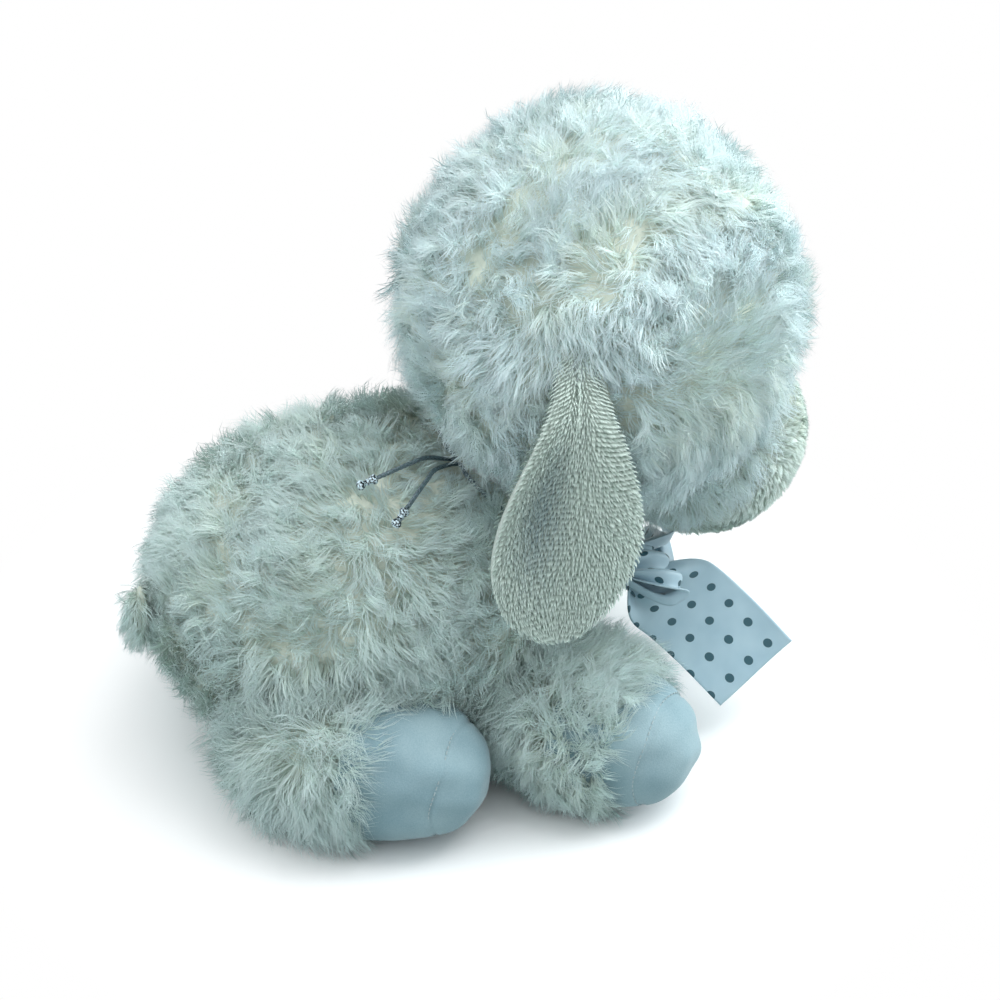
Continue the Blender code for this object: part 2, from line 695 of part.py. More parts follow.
def ear_layer(route, lengthwise, side, near, far):
    """One layer of the ear between two shares of its thickness, counted outward."""
    shares = np.linspace(-1, 1, EAR_COLUMNS)
    along = np.gradient(route, axis=0)
    rings = []
    for place, point, run in zip(lengthwise, route, along):
        half = ear_half_width(place)
        run = run / np.linalg.norm(run)
        out = np.cross(run, FORWARD) * side
        out = out if out[0] * side > 0 else -out
        out /= np.linalg.norm(out)
        edge = [(share, far) for share in shares] + [(share, near) for share in shares[::-1]]
        ring = []
        for share, layer in edge:
            swell = EAR_EDGE_THICKNESS + (EAR_THICKNESS - EAR_EDGE_THICKNESS) * math.sqrt(1 - share ** 2)
            parting = GAP / 2 if far > 0 else -GAP / 2
            depth = layer * swell / 2 + parting - EAR_CUP * share ** 2 * half / (EAR_WIDTH / 2)
            ring.append(point + FORWARD * share * max(half, GAP) + out * depth)
        rings.append(ring)
    return skin_rings(rings, (None, None))


def make_ear(name, side, sweep):
    """An ear of two layers, sewn to the side of the head at its root and free to lift."""
    root, route, shares = ear_route(side, sweep)
    inside = root - side * SIDEWAYS * EAR_STAND_OFF
    pivot = pivot_empty("ear_pivot_" + name, inside, HEAD)
    lifts = [turn(FORWARD, side * degrees) for degrees in (0, EAR_LIFT_DEGREES / 2, EAR_LIFT_DEGREES)]
    head_sweep = sweep_mesh(HEAD_FORM, inside, lifts, GAP + SEAM_SLACK, inside)
    room = add_cutter("head_room_" + name, head_sweep, pivot)
    outer = add_piece("ear_" + name, ear_layer(route, shares, side, 0, 1), SHORT_PILE, pivot)
    lining = add_piece("ear_lining_" + name, ear_layer(route, shares, side, -1, 0), SHORT_PILE, pivot)
    cut(outer, room)
    cut(lining, room)


make_ear("left", 1, LEFT_EAR_SWEEP)
make_ear("right", -1, RIGHT_EAR_SWEEP)


def make_leg(name, side, root, toe, thickness, toe_share, swing, neighbour=None):
    """A leg that tapers from a long pile sleeve to a smooth foot, with its filling.

    It is cut where the body is, and where the larger leg next to it lies.
    """
    root = root * [side, 1, 1]
    toe = toe * [side, 1, 1]
    run = toe - root
    half_length = np.linalg.norm(run) / 2
    taper = -toe_share
    drop = thickness / 2 * toe_share
    middle = (root + toe) / 2 + UP * (thickness / 2 - FLOOR_CUT)
    direction = run / np.linalg.norm(run)
    direction = direction - UP * drop / half_length
    half_sizes = (thickness / 2, half_length, thickness / 2)
    form = Form(middle, half_sizes, LEG_FULLNESS, facing(direction), taper)

    start = np.array([0, root[1], middle[2]])
    out = side * SIDEWAYS
    hip = start + out * (BODY_FORM.reach(start, out[None])[0] - HIP_INSET)
    pivot = pivot_empty("hip_" + name, hip, SHEEP)
    swings = [turn(UP, degrees) for degrees in (0, swing / 2, swing)]
    body_sweep = sweep_mesh(BODY_FORM, hip, swings, GAP + SEAM_SLACK, BODY_MIDDLE)
    rooms = [add_cutter("body_room_" + name, body_sweep, pivot)]
    if neighbour is not None:
        next_to = form_mesh(neighbour.grown(GAP + SEAM_SLACK))
        rooms.append(add_cutter("neighbour_room_" + name, next_to, pivot))

    cuff = math.asin(1 - FOOT_LENGTH / half_length)
    gap_angle = GAP / half_length / math.cos(cuff)
    root_angle = math.radians(LEG_ROOT_DEGREES)
    sleeve_skin = shell_mesh(form, PILE_THICKNESS, root_angle, cuff, LEG_MERIDIANS, SLEEVE_RINGS)
    sleeve = add_piece("leg_" + name, sleeve_skin, PILE, pivot)
    cut(sleeve, *rooms, FLOOR)
    foot_skin = shell_mesh(form, SHORT_PILE_THICKNESS, cuff + gap_angle, None, LEG_MERIDIANS, FOOT_RINGS)
    foot = add_piece("foot_" + name, foot_skin, FOOT_PILE, pivot)
    cut(foot, *rooms, FLOOR)
    filling = form_mesh(form.grown(-PILE_THICKNESS - GAP - SEAM_SLACK), SMALL_MERIDIANS, SMALL_RINGS)
    cut(add_piece("leg_filling_" + name, filling, FILLING, pivot), *rooms)
    return form


FLANK = BODY_WIDTH / 2
for leg_name, leg_side in (("left", 1), ("right", -1)):
    hind_form = make_leg(
        "hind_" + leg_name, leg_side, spot(FLANK - HIND_ROOT_INSIDE, HIND_ROOT_FORWARD, 0),
        spot(FLANK + HIND_TOE_OUTSIDE, HIND_TOE_FORWARD, 0), HIND_THICKNESS, HIND_TOE_SHARE,
        HIND_SWING_DEGREES * leg_side)
    make_leg(
        "front_" + leg_name, leg_side, spot(FLANK - FRONT_ROOT_INSIDE, FRONT_ROOT_FORWARD, 0),
        spot(FLANK + FRONT_TOE_OUTSIDE, FRONT_TOE_FORWARD, 0), FRONT_THICKNESS, FRONT_TOE_SHARE,
        -FRONT_SWING_DEGREES * leg_side, hind_form)


def make_tail():
    """A short tail that hangs from its seam on the rump."""
    start = np.array([0, 0, BODY_HEIGHT - TAIL_BELOW_TOP])
    backward = -FORWARD
    root = start + backward * (BODY_FORM.reach(start, backward[None])[0] - TAIL_INSET)
    pivot = pivot_empty("tail_pivot", root, SHEEP)
    down = turn(SIDEWAYS, TAIL_LEAN_DEGREES) @ -UP
    middle = root + down * TAIL_LENGTH / 2 + backward * TAIL_THICKNESS / 2
    half_sizes = (TAIL_WIDTH / 2, TAIL_LENGTH / 2, TAIL_THICKNESS / 2)
    form = Form(middle, half_sizes, BALL_FULLNESS, facing(down, up=backward), TAIL_TAPER_SHARE)
    tail = add_piece("tail", form_mesh(form, SMALL_MERIDIANS, SMALL_RINGS), PILE, pivot)
    lifts = [turn(SIDEWAYS, degrees) for degrees in (0, TAIL_LIFT_DEGREES / 2, TAIL_LIFT_DEGREES)]
    room = sweep_mesh(BODY_FORM, root, lifts, GAP + SEAM_SLACK, root)
    cut(tail, add_cutter("tail_room", room, pivot))


make_tail()

RING_BACK = body_top(ELASTIC_BACK_FORWARD)
RING_DOWN = turn(SIDEWAYS, ELASTIC_LEAN_DEGREES) @ FORWARD
RING_REACH = BODY_FORM.reach(RING_BACK - UP * GAP, RING_DOWN[None])[0]
RING_MIDDLE = RING_BACK + RING_DOWN * RING_REACH / 2


def ring_spot(degrees, stand_off):
    """A place over the pile round the neck: 0 is at the back, and the angle grows over the sheep's left."""
    angle = math.radians(degrees)
    out = -RING_DOWN * math.cos(angle) + SIDEWAYS * math.sin(angle)
    return RING_MIDDLE + out * (BODY_FORM.reach(RING_MIDDLE, out[None])[0] + stand_off), out


def end_route(degrees, lean_degrees):
    """A free end of the elastic, which lies back over the body from the neck."""
    run = turn(UP, lean_degrees) @ -FORWARD
    start, _ = ring_spot(degrees, ELASTIC_DIAMETER / 2 + GAP + SEAM_SLACK)
    route = []
    for share in ELASTIC_END_SHARES:
        place = start + run * ELASTIC_END_LENGTH * share
        base = np.array([place[0], place[1], BODY_MIDDLE[2]])
        height = BODY_FORM.reach(base, UP[None])[0]
        route.append(base + UP * (height + BARB_RADIUS + GAP))
    return route


def make_elastic():
    """The silver elastic round the neck, with a barb crimped on each end."""
    first = -ELASTIC_END_SIDE_DEGREES + ELASTIC_END_SPREAD_DEGREES
    last = 360 - ELASTIC_END_SIDE_DEGREES - ELASTIC_END_SPREAD_DEGREES
    stand_off = ELASTIC_DIAMETER / 2 + GAP + GAP
    ring = [ring_spot(degrees, stand_off)[0] for degrees in np.linspace(first, last, ELASTIC_RING_POINTS)]
    one_end = end_route(first, FIRST_END_LEAN_DEGREES)
    other_end = end_route(last, SECOND_END_LEAN_DEGREES)
    route = smooth_path(one_end[::-1] + ring + other_end, np.linspace(0, 1, ELASTIC_POINTS))
    add_thread("neck_elastic", route, ELASTIC_DIAMETER / 2, SILVER, SHEEP)
    for name, tip, before in (("left", route[0], route[1]), ("right", route[-1], route[-2])):
        out = (tip - before) / np.linalg.norm(tip - before)
        steps = [(BARB_RADIUS * wide, GAP + BARB_LENGTH * along) for wide, along in BARB_PROFILE_SHARES]
        profile = [(0, GAP), *steps, (0, GAP + BARB_LENGTH)]
        add_piece("barb_" + name, lathe_mesh(profile, tip, out), SILVER, SHEEP)


def make_bow():
    """The satin bow: a knot on the elastic, two loops and two cut ends."""
    seat, out = ring_spot(360 - KNOT_SIDE_DEGREES, ELASTIC_DIAMETER + SEAM_SLACK + SEAM_SLACK)
    middle = seat + out * KNOT_DEPTH / 2
    half_sizes = (KNOT_WIDTH / 2, KNOT_DEPTH / 2, KNOT_HEIGHT / 2)
    knot_form = Form(middle, half_sizes, KNOT_FULLNESS, facing(out))
    knot = add_piece("ribbon_knot", form_mesh(knot_form, SMALL_MERIDIANS, SMALL_RINGS), SATIN, SHEEP)
    cut(knot, add_cutter("knot_seat", form_mesh(BODY_FORM.grown(GAP + SEAM_SLACK)), SHEEP))
    knot_room = add_cutter("knot_room", form_mesh(knot_form.grown(GAP), SMALL_MERIDIANS, SMALL_RINGS), SHEEP)
    strips = (("ribbon_loop_right", RIGHT_LOOP_SHARES, RIGHT_LOOP_ACROSS_SHARES, True),
              ("ribbon_loop_left", LEFT_LOOP_SHARES, LEFT_LOOP_ACROSS_SHARES, True),
              ("ribbon_end_right", RIGHT_END_SHARES, RIGHT_END_ACROSS_SHARES, False),
              ("ribbon_end_left", LEFT_END_SHARES, LEFT_END_ACROSS_SHARES, False))
    for name, place_shares, across_shares, looped in strips:
        shares = np.linspace(0, 1, LOOP_POINTS if looped else END_POINTS)
        width = LOOP_WIDTH if looped else RIBBON_WIDTH
        route = smooth_path([middle + spot(*place) * RIBBON_WIDTH for place in place_shares], shares)
        across = spot(*across_shares) / np.linalg.norm(across_shares)
        from_knot = np.minimum(shares, 1 - shares) if looped else shares
        spread = np.sin(math.pi / 2 * np.minimum(from_knot / GATHER_RUN_SHARE, 1))
        widths = GATHERED_WIDTH + (width - GATHERED_WIDTH) * spread
        strip = add_piece(name, strip_mesh(route, across, widths, RIBBON_THICKNESS), SATIN, SHEEP)
        cut(strip, knot_room)


make_elastic()
make_bow()


def centre_on_footprint():
    """Move the whole sheep so that the middle of its box stands over the origin."""
    bpy.context.view_layer.update()
    graph = bpy.context.evaluated_depsgraph_get()
    low = np.full(3, np.inf)
    high = np.full(3, -np.inf)
    for piece in bpy.data.objects:
        if piece.type == "EMPTY" or piece.hide_render:
            continue
        solid = piece.evaluated_get(graph)
        mesh = solid.to_mesh()
        for vertex in mesh.vertices:
            place = solid.matrix_world @ vertex.co
            low = np.minimum(low, place)
            high = np.maximum(high, place)
        solid.to_mesh_clear()
    middle = (low + high) / 2
    SHEEP.location -= Vector((middle[0], middle[1], low[2]))
    bpy.context.view_layer.update()


centre_on_footprint()
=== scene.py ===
"""The looks of a plush sheep that lies on its belly, its head bowed over a satin bow.

The sheep faces -Y and its left side is +X. Lengths are in metres. The forms repeat those of the part,
and every place is counted from the pivots and the resting face that the frame gives.
"""

import json
import math
from dataclasses import dataclass

import bmesh
import bpy
import numpy as np
from mathutils import Matrix, Vector
from mathutils.kdtree import KDTree


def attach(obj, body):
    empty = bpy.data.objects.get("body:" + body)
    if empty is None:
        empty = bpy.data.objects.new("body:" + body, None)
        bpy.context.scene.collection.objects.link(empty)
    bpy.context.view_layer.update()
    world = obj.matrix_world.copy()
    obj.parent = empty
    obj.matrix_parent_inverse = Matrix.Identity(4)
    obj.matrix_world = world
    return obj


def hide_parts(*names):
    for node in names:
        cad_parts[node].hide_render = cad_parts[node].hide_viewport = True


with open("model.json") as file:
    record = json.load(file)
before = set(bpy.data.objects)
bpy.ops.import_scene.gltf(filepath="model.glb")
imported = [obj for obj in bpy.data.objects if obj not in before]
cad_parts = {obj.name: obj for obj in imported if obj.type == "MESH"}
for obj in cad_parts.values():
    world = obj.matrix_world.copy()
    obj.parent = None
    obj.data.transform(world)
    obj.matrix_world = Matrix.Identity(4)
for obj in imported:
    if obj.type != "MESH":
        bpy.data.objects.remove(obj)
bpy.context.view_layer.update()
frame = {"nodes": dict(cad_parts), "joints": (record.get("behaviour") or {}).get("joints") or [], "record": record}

MM = 0.001
UP = np.array([0, 0, 1.0])
SIDEWAYS = np.array([1.0, 0, 0])
FORWARD = np.array([0, -1.0, 0])
SIDES = {"left": 1, "right": -1}

# Camera, seen from the middle of the sheep
CAMERA_AZIMUTH_DEGREES = 255
CAMERA_ELEVATION_DEGREES = 38
CAMERA_DISTANCE = 750 * MM
CAMERA_LENS = 108
CAMERA_TARGET = np.array([-7.1, -7.2, 66.3]) * MM

# Light, from above and from both sides
HORIZON_STRENGTH = 0.2
ZENITH_STRENGTH = 1.7
WORLD_COLOUR = (0.93, 0.98, 1.0)
BACKDROP_COLOUR = (1, 1, 1)
# Each lamp's name, place, size, power and colour
LAMPS = [("above", np.array([0, -350, 950]) * MM, 700 * MM, 5.2, (0.97, 0.99, 1.0)),
         ("behind", np.array([-150, 950, 420]) * MM, 800 * MM, 2.8, (0.9, 0.97, 1.0)),
         ("before", np.array([50, -950, 480]) * MM, 800 * MM, 7.5, (0.9, 0.97, 1.0))]
FLOOR_COLOUR = (0.97, 0.97, 0.97)
FLOOR_BOUNCE_COLOUR = (0.45, 0.52, 0.52)
FLOOR_SIZE = 4000 * MM
FLOOR_NEAR = 60 * MM
FLOOR_FAR = 140 * MM

# The forms of the part, over their pile
PILE_THICKNESS = 6 * MM
SHORT_PILE_THICKNESS = 2 * MM
GAP = 0.3 * MM
SEAM_SLACK = 0.6 * MM
FLOOR_CUT = 0.5 * MM
BODY_LENGTH = 115 * MM
BODY_WIDTH = 92 * MM
BODY_HEIGHT = 88 * MM
BODY_FULLNESS = 2.2
BODY_TAPER_SHARE = -0.04
NECK_WAD_RADIUS = 18 * MM
HEAD_REACH = 24.5 * MM
HEAD_RISE = 49.5 * MM
HEAD_WIDTH = 101 * MM
HEAD_DEPTH = 100 * MM
HEAD_HEIGHT = 100 * MM
HEAD_FULLNESS = 2.1
HEAD_BOW_DEGREES = 45
FACE_SIZE = 54 * MM
FACE_FULLNESS = 2.1
FACE_REACH = 49.5 * MM
FACE_DROP_DEGREES = 57
LEG_FULLNESS = 2.5
FOOT_LENGTH = 27 * MM
# Each kind of leg: its root and its toe as places forward and aside, its thickness and its taper's share
LEG_SHAPES = {"hind": ((-37.5 * MM, 21 * MM), (17.5 * MM, 57 * MM), 41 * MM, 0.16),
              "front": ((21.5 * MM, 20 * MM), (69.5 * MM, 61 * MM), 38 * MM, 0.08)}
TAIL_LENGTH = 20 * MM
TAIL_WIDTH = 15 * MM
TAIL_THICKNESS = 9 * MM
TAIL_LEAN_DEGREES = 4
TAIL_TAPER_SHARE = 0.2

# Cloth and stuffing under the pile
BACKING_DEPTH = 3.4 * MM
FACE_CLOTH_DEPTH = 0.6 * SHORT_PILE_THICKNESS
TAIL_CLOTH_DEPTH = 2.5 * MM
SLEEVE_CUT_DEPTH = 3 * MM
FLOOR_CLEARANCE = 0.4 * MM
STUFFING_DEPTH = PILE_THICKNESS + GAP + SEAM_SLACK
HEAD_STUFFING_DEPTH = 3 * PILE_THICKNESS
FACE_STUFFING_DEPTH = 3 * SHORT_PILE_THICKNESS
STUFFING_LUMP_SIZE = 12 * MM
STUFFING_LUMP_DEPTH = 0.5 * MM

# Velour of the feet, and the seam round the toe's cap
VELOUR_DEPTH = 0.3 * SHORT_PILE_THICKNESS
VELOUR_UNDER_CUFF = 0.22
VELOUR_RIPPLE_SIZE = 9 * MM
VELOUR_RIPPLE_DEPTH = 0.15 * MM
SEAM_LATITUDE = math.radians(54)
SEAM_GROOVE_WIDTH = 0.7 * MM
SEAM_GROOVE_DEPTH = 0.5 * MM
SEAM_STITCHES = 60
SEAM_THREAD_RADIUS = 0.14 * MM
SEAM_STITCH_SHARE = 0.6
SEAM_STITCH_POINTS = 5

# Ears
EAR_LENGTH = 72 * MM
EAR_WIDTH = 36 * MM
EAR_ROOT_WIDTH = 9 * MM
EAR_THICKNESS = 4.4 * MM
EAR_EDGE_THICKNESS = 0.6 * MM
EAR_CUP = 2 * MM
EAR_SPREAD = 8 * MM
EAR_STAND_OFF = 3 * MM
EAR_SWEEPS = {"left": -6 * MM, "right": 8 * MM}
EAR_WIDEST_SHARE = 0.72
EAR_ROOT_POWER = 2.7
EAR_HANG_SHARES = [(-1, 0, 0), (0.5, 0.3, 0.22), (0.98, 0.65, 0.6), (1, 1, 1)]
EAR_SHIFT_FORWARD = 1.4 * MM
EAR_ROWS = 90
EAR_COLUMNS = 40
EAR_ROW_PITCH = 1.15 * MM
EAR_TUFT_PITCH = 0.42 * MM
EAR_TUFT_EDGE_SHARE = 0.985
EAR_CREASE_SHARE = 0.22
EAR_CREASE_DEPTH = 1.2 * MM
EAR_CHEVRON_SHARE = 0.06
EAR_FAN_SHARE = 1.7
# A dent in the ear, at shares of its half width and its length, with its radii and its depth
EAR_DENT_SHARES = (-0.42, 0.58)
EAR_DENT_RADIUS_SHARES = (0.42, 0.26)
EAR_DENT_DEPTH = 5 * MM
EAR_TINT = 0.62
# Painted shade: how far the tufts' tint falls in the ear's dent
EAR_DENT_PAINTED_SHADE = 0.5
EAR_ROUTE_POINTS = 200
EAR_CREASE_RUN = 1.6
EAR_SLOPE_STEP_SHARE = 0.01
EAR_BACK_SHARE = 0.1
EAR_CHEVRON_FADE_SHARE = 0.6
EAR_LAY_SCATTER = 0.1
# The tufts' scatter along a row and across the rows, and how near the ear's sides they stand
EAR_TUFT_SCATTER_SHARES = (0.01, 0.0009)
EAR_TUFT_SIDE_SHARE = 0.96
EAR_TUFT_LENGTH_SHARE = 1.8
EAR_TUFT_LENGTH_SPREAD = (0.85, 1.15)
EAR_TUFT_WIDTH_SHARE = 1.15
EAR_TUFT_ROOT_DEGREES = 5
EAR_TUFT_TIP_DEGREES = (78, 100)
EAR_TUFT_KNOTS = 4
EAR_TUFT_TILT = 0.25

# Eyes, nose and mouth
EYE_RADIUS = 3 * MM
EYE_BULGE = 2 * MM
EYE_SINK = 1.2 * MM
DOME_RINGS = 16
EYE_SIDE_DEGREES = 20
EYE_RISE_DEGREES = 9
POST_RADIUS = 1.3 * MM
POST_LENGTH = 9 * MM
POST_RIB_WIDTH = 0.3 * MM
POST_RIB_HEIGHT = 0.12 * MM
POST_RIBS = 9
NOSE_WIDTH = 10 * MM
NOSE_HEIGHT = 6 * MM
NOSE_DEPTH = 3 * MM
NOSE_DROP_DEGREES = 15
NOSE_STITCHES = 17
NOSE_STITCH_POINTS = 15
NOSE_EDGE_SHARE = 0.94
NOSE_THREAD_RADIUS = 0.34 * MM
MOUTH_THREAD_RADIUS = 0.6 * MM
MOUTH_SIDE_DEGREES = 16
MOUTH_DROP_DEGREES = 35
MOUTH_SAG_DEGREES = 6
MOUTH_POINTS = 60
MOUTH_PLIES = 2
MOUTH_PLY_OFFSET_SHARE = 0.45
MOUTH_PLY_RADIUS_SHARE = 0.6
MOUTH_LAY_LENGTH = 2.4 * MM

# Neck elastic with its barbs
ELASTIC_DIAMETER = 1.2 * MM
ELASTIC_BACK_FORWARD = 17 * MM
ELASTIC_LEAN_DEGREES = 41
ELASTIC_END_SIDE_DEGREES = 25
ELASTIC_END_SPREAD_DEGREES = 2.5
FIRST_END_LEAN_DEGREES = 21
SECOND_END_LEAN_DEGREES = 46
ELASTIC_END_LENGTH = 18 * MM
ELASTIC_SINK = 5 * MM
ELASTIC_END_RISE = 0.9 * MM
BARB_RISE = 1.6 * MM
ELASTIC_END_SHARES = (0.2, 0.5, 1.0)
ELASTIC_RING_POINTS = 36
ELASTIC_STRANDS = 4
ELASTIC_STRAND_RADIUS = 0.17 * MM
ELASTIC_LAY_LENGTH = 5 * MM
ELASTIC_POINTS = 900
ELASTIC_CORE_STEP = 3
BARB_LEAD_POINTS = 12
BARB_LENGTH = 5.5 * MM
BARB_RADIUS = 1.3 * MM
BARB_PROFILE_SHARES = [(0.56, 0), (0.95, 0.06), (1, 0.12), (0.9, 0.2), (0.6, 0.34), (0.56, 0.4), (0.72, 0.45),
                       (0.56, 0.5), (0.56, 0.64), (0.9, 0.76), (1, 0.84), (0.86, 0.94), (0.4, 1)]

# Ribbon bow
RIBBON_WIDTH = 25 * MM
RIBBON_THICKNESS = 0.35 * MM
LOOP_WIDTH = 16 * MM
GATHERED_WIDTH = 6 * MM
KNOT_SIDE_DEGREES = 146
KNOT_WIDTH = 9 * MM
KNOT_HEIGHT = 14 * MM
KNOT_DEPTH = 7 * MM
KNOT_FULLNESS = 3
KNOT_FOLDS = 2.5
KNOT_FOLD_DEPTH = 0.35 * MM
# Each strip: the phase of its pleats, the way across it, and its middle line from the knot on, both as
# shares of the ribbon's width to the side, forward and up
STRIPS = {
    "loop_right": (0.4, (-0.94, 0.25, -0.26),
                   [(-0.16, 0.14, -0.03), (-0.26, 0.32, 0.04), (-0.29, 0.48, 0.04), (-0.27, 0.62, -0.06),
                    (-0.28, 0.47, -0.16), (-0.22, 0.3, -0.16), (-0.14, 0.14, -0.12)]),
    "loop_left": (1.3, (0, 1, 0.1),
                  [(0.06, 0.16, -0.02), (0.4, 0.6, -0.22), (0.75, 0.67, -0.38), (0.92, 0.66, -0.54),
                   (0.74, 0.65, -0.67), (0.4, 0.56, -0.54), (0.06, 0.2, -0.14)]),
    "end_right": (2.0, (0.2, 0.83, 0.52),
                  [(-0.12, 0.3, -0.2), (-0.22, 0.68, -0.44), (-0.37, 1.06, -0.84), (-0.58, 1.48, -1.36)]),
    "end_left": (0.9, (1, 0, 0.1),
                 [(0.04, 0.08, -0.22), (0.36, 0.34, -0.5), (0.6, 0.5, -0.96), (0.72, 0.62, -1.36)]),
}
GATHER_RUN_SHARE = 0.35
RIBBON_ROWS = 120
RIBBON_COLUMNS = 48
PLEATS = 2.5
PLEAT_DEPTH_SHARE = 0.8
# The free ends' waves: where they start, how high they are, and their phases along and across the strip
END_RIPPLE_FROM_SHARE = 0.25
END_RIPPLE = 0.7 * MM
END_EDGE_PHASE = 7
END_CURL_SHARE = 0.6
END_CURL_PHASES = (3, 2.2)

# Fleece, whose locks stand in soft lumps
LOCK_SPACING = 13 * MM
LOCK_DEPTH = 2.5 * MM
LOCK_FADE_HEIGHT = 32 * MM
LOCK_WAVE_HEIGHT = 1.5

# Long pile
ROOT_DEPTH = 5.5 * MM
TAIL_ROOT_DEPTH = 3 * MM
BODY_STRANDS = 84000
HEAD_STRANDS = 88000
LEG_STRANDS = 16000
TAIL_STRANDS = 1600
TAIL_LENGTH_SHARE = 0.6
FACE_STRANDS = 36000
LOWEST_ROOT = 1.2 * MM
HIP_FULLNESS_SHARE = 0.45
HIP_COVER_REACH = 14 * MM
HIP_COVER_SHARES = (-0.3, 0.3)
HIP_FADE_SHARES = (0.7, 1.4)
WRIST_FULLNESS_SHARE = 0.5
FRONT_CUFF_COVER = 17 * MM
CUFF_RISE = (-13 * MM, -7 * MM)
CUFF_LENGTH_SHARE = 0.8
FRONT_STRANDS_SHARE = 1.4
BODY_PANEL_SIDE = 13 * MM
HEAD_PANEL_SIDE = 17 * MM
FRINGE_STRANDS = 16000
FRINGE_WIDTH = 9 * MM
FRINGE_CHIN_SHARES = (-0.7, 0.1)
FRINGE_LENGTH_SHARE = 0.9
FRINGE_THIN_SHARE = 0.5

# How far under a neighbour the pile still grows
BODY_UNDER_HEAD = 16 * MM
BODY_UNDER_LEG = 9 * MM
HEAD_UNDER_BODY = 14 * MM
HEAD_BESIDE_FACE = 0.5 * MM
FACE_UNDER_HEAD = 4 * MM
FACE_UNDER_BODY = 2 * MM
LEG_UNDER_BODY = 8 * MM
LEG_UNDER_LEG = 6 * MM
LEG_UNDER_HEAD = 3 * MM
BARE_RIM_WIDTH = 0.4 * SHORT_PILE_THICKNESS
NOSE_COVER = 1 * MM

# How a neighbour shortens the pile: between which distances from it, and to what share where it is nearest
BODY_BY_HEAD = (-3 * MM, 5 * MM, 0.3)
BODY_BY_LEG = (-6 * MM, -1 * MM, 0.75)
BODY_BY_RIBBON = (6 * MM, 14 * MM, 0.4)
BODY_BY_ELASTIC = (2.5 * MM, 6 * MM, 0.5)
HEAD_BY_BODY = (-1 * MM, 7 * MM, 0.3)
LEG_BY_BODY = (-8 * MM, -1 * MM, 0.75)
LEG_BY_HEAD = (0, 6 * MM, 0.3)
RIBBON_PRESS_POINTS = 40
ELASTIC_PRESS_POINTS = 70
ELASTIC_PRESS_STEP = 5
# The stretches of an ear, at shares of its length, that press the head's pile, and how far each does
EAR_PRESSES = ((0.1, 0.3, 4 * MM), (0.25, 1, 9 * MM))
EAR_PRESS_POINTS = 30
EAR_PRESS_FADE = 1.6
EAR_PRESS_SHARE = 0.5

# Which way the pile is brushed, against the swirl of its locks
BODY_LAY = (0, -0.5, 0)
HIP_FALL = 3
HEAD_LAY = (0, 0.3, 0.25)
FACE_PULL = 2.5
FACE_PULL_FADE = (3 * MM, 16 * MM)
EAR_CROWN_SHARE = 0.06
EAR_CROWN_RISE = 4 * MM
EAR_CROWN_FALL = 3
EAR_CROWN_FADE = (8 * MM, 15 * MM)
FACE_LAY_SHARE = 0.4
FRINGE_LAY_SHARE = 2
LEG_LAY_SHARE = 0.9
TAIL_LAY_SHARE = 1.2

# How the strands of a coat differ from each other
LOCK_LENGTH_SPREAD = (0.78, 1.2)
LENGTH_SPREAD = (0.8, 1.15)
LAY_SCATTER = 0.3
ROOT_LEAN_SCATTER = 0.12
TIP_LEAN_SCATTER = 0.2
STRAY_SHARE = 0.1
STRAY_PULL = 0.15
PULL_SPREAD = (0.8, 1.15)
PULL_POWER = 0.9
CURL_SCATTER = 0.25
CURL_SPREAD = (0.6, 1.3)
CURL_LIFT_SHARE = 0.5
BAND_TILT = 0.2
BAND_PLACE_SHARES = (0, 0.3, 0.75, 1)
BAND_WIDTH_SHARES = (0.8, 1, 0.7, 0.2)
TINT_MIDDLE = 0.57
PATCH_TINT = 0.12
PATCH_SIZE = 22 * MM
LOCK_TINT = 0.07
STRAND_TINT = 0.06
TINT_LIMITS = (0.02, 0.98)
STRAND_UV = "OFBake"
STRAND_UV_WIDTH = 0.008
STRAND_UV_MARGIN = 0.01

# Rings and meridians of the grids over the forms
CLOTH_GRID = (80, 96)
ROOT_GRID = (120, 140)
STUFFING_GRID = (40, 48)
FACE_GRID = (60, 72)
FACE_ROOT_GRID = (90, 100)
SLEEVE_GRID = (40, 64)
FOOT_GRID = (60, 96)
LEG_ROOT_GRID = (70, 80)
SMALL_GRID = (24, 32)
TAIL_ROOT_GRID = (30, 30)
LATHE_MERIDIANS = 40
BARB_MERIDIANS = 24

HALVINGS = 40
SWIRL_WAVES = 14
SWIRL_SPREAD = (0.6, 1.4)
MERGE_DISTANCE = GAP / 100
TINY = 1e-9


def add_object(name, data):
    """An object in the scene."""
    item = bpy.data.objects.new(name, data)
    bpy.context.scene.collection.objects.link(item)
    return item


def add_aimed(name, data, place):
    """A camera or a lamp that looks at the sheep's middle."""
    item = add_object(name, data)
    item.location = place
    item.rotation_euler = Vector(CAMERA_TARGET - place).to_track_quat("-Z", "Y").to_euler()
    return item


def make_camera():
    """The camera that sees the sheep as the photograph does."""
    azimuth = math.radians(CAMERA_AZIMUTH_DEGREES)
    elevation = math.radians(CAMERA_ELEVATION_DEGREES)
    back = np.array([math.sin(azimuth) * math.cos(elevation), -math.cos(azimuth) * math.cos(elevation),
                     math.sin(elevation)])
    data = bpy.data.cameras.new("camera")
    data.lens = CAMERA_LENS
    bpy.context.scene.camera = add_aimed("camera", data, CAMERA_TARGET + back * CAMERA_DISTANCE)


make_camera()


def unit(vectors):
    """Vectors of length one along the given ones."""
    return vectors / np.maximum(np.linalg.norm(vectors, axis=-1, keepdims=True), TINY)


def spot(side, forward, height):
    """A place or way counted to the sheep's left, forward and up."""
    return np.array([side, -forward, height])


def turn(axis, degrees):
    """The rotation about an axis, as a 3 by 3 array."""
    return np.array(Matrix.Rotation(math.radians(degrees), 3, Vector(axis)))


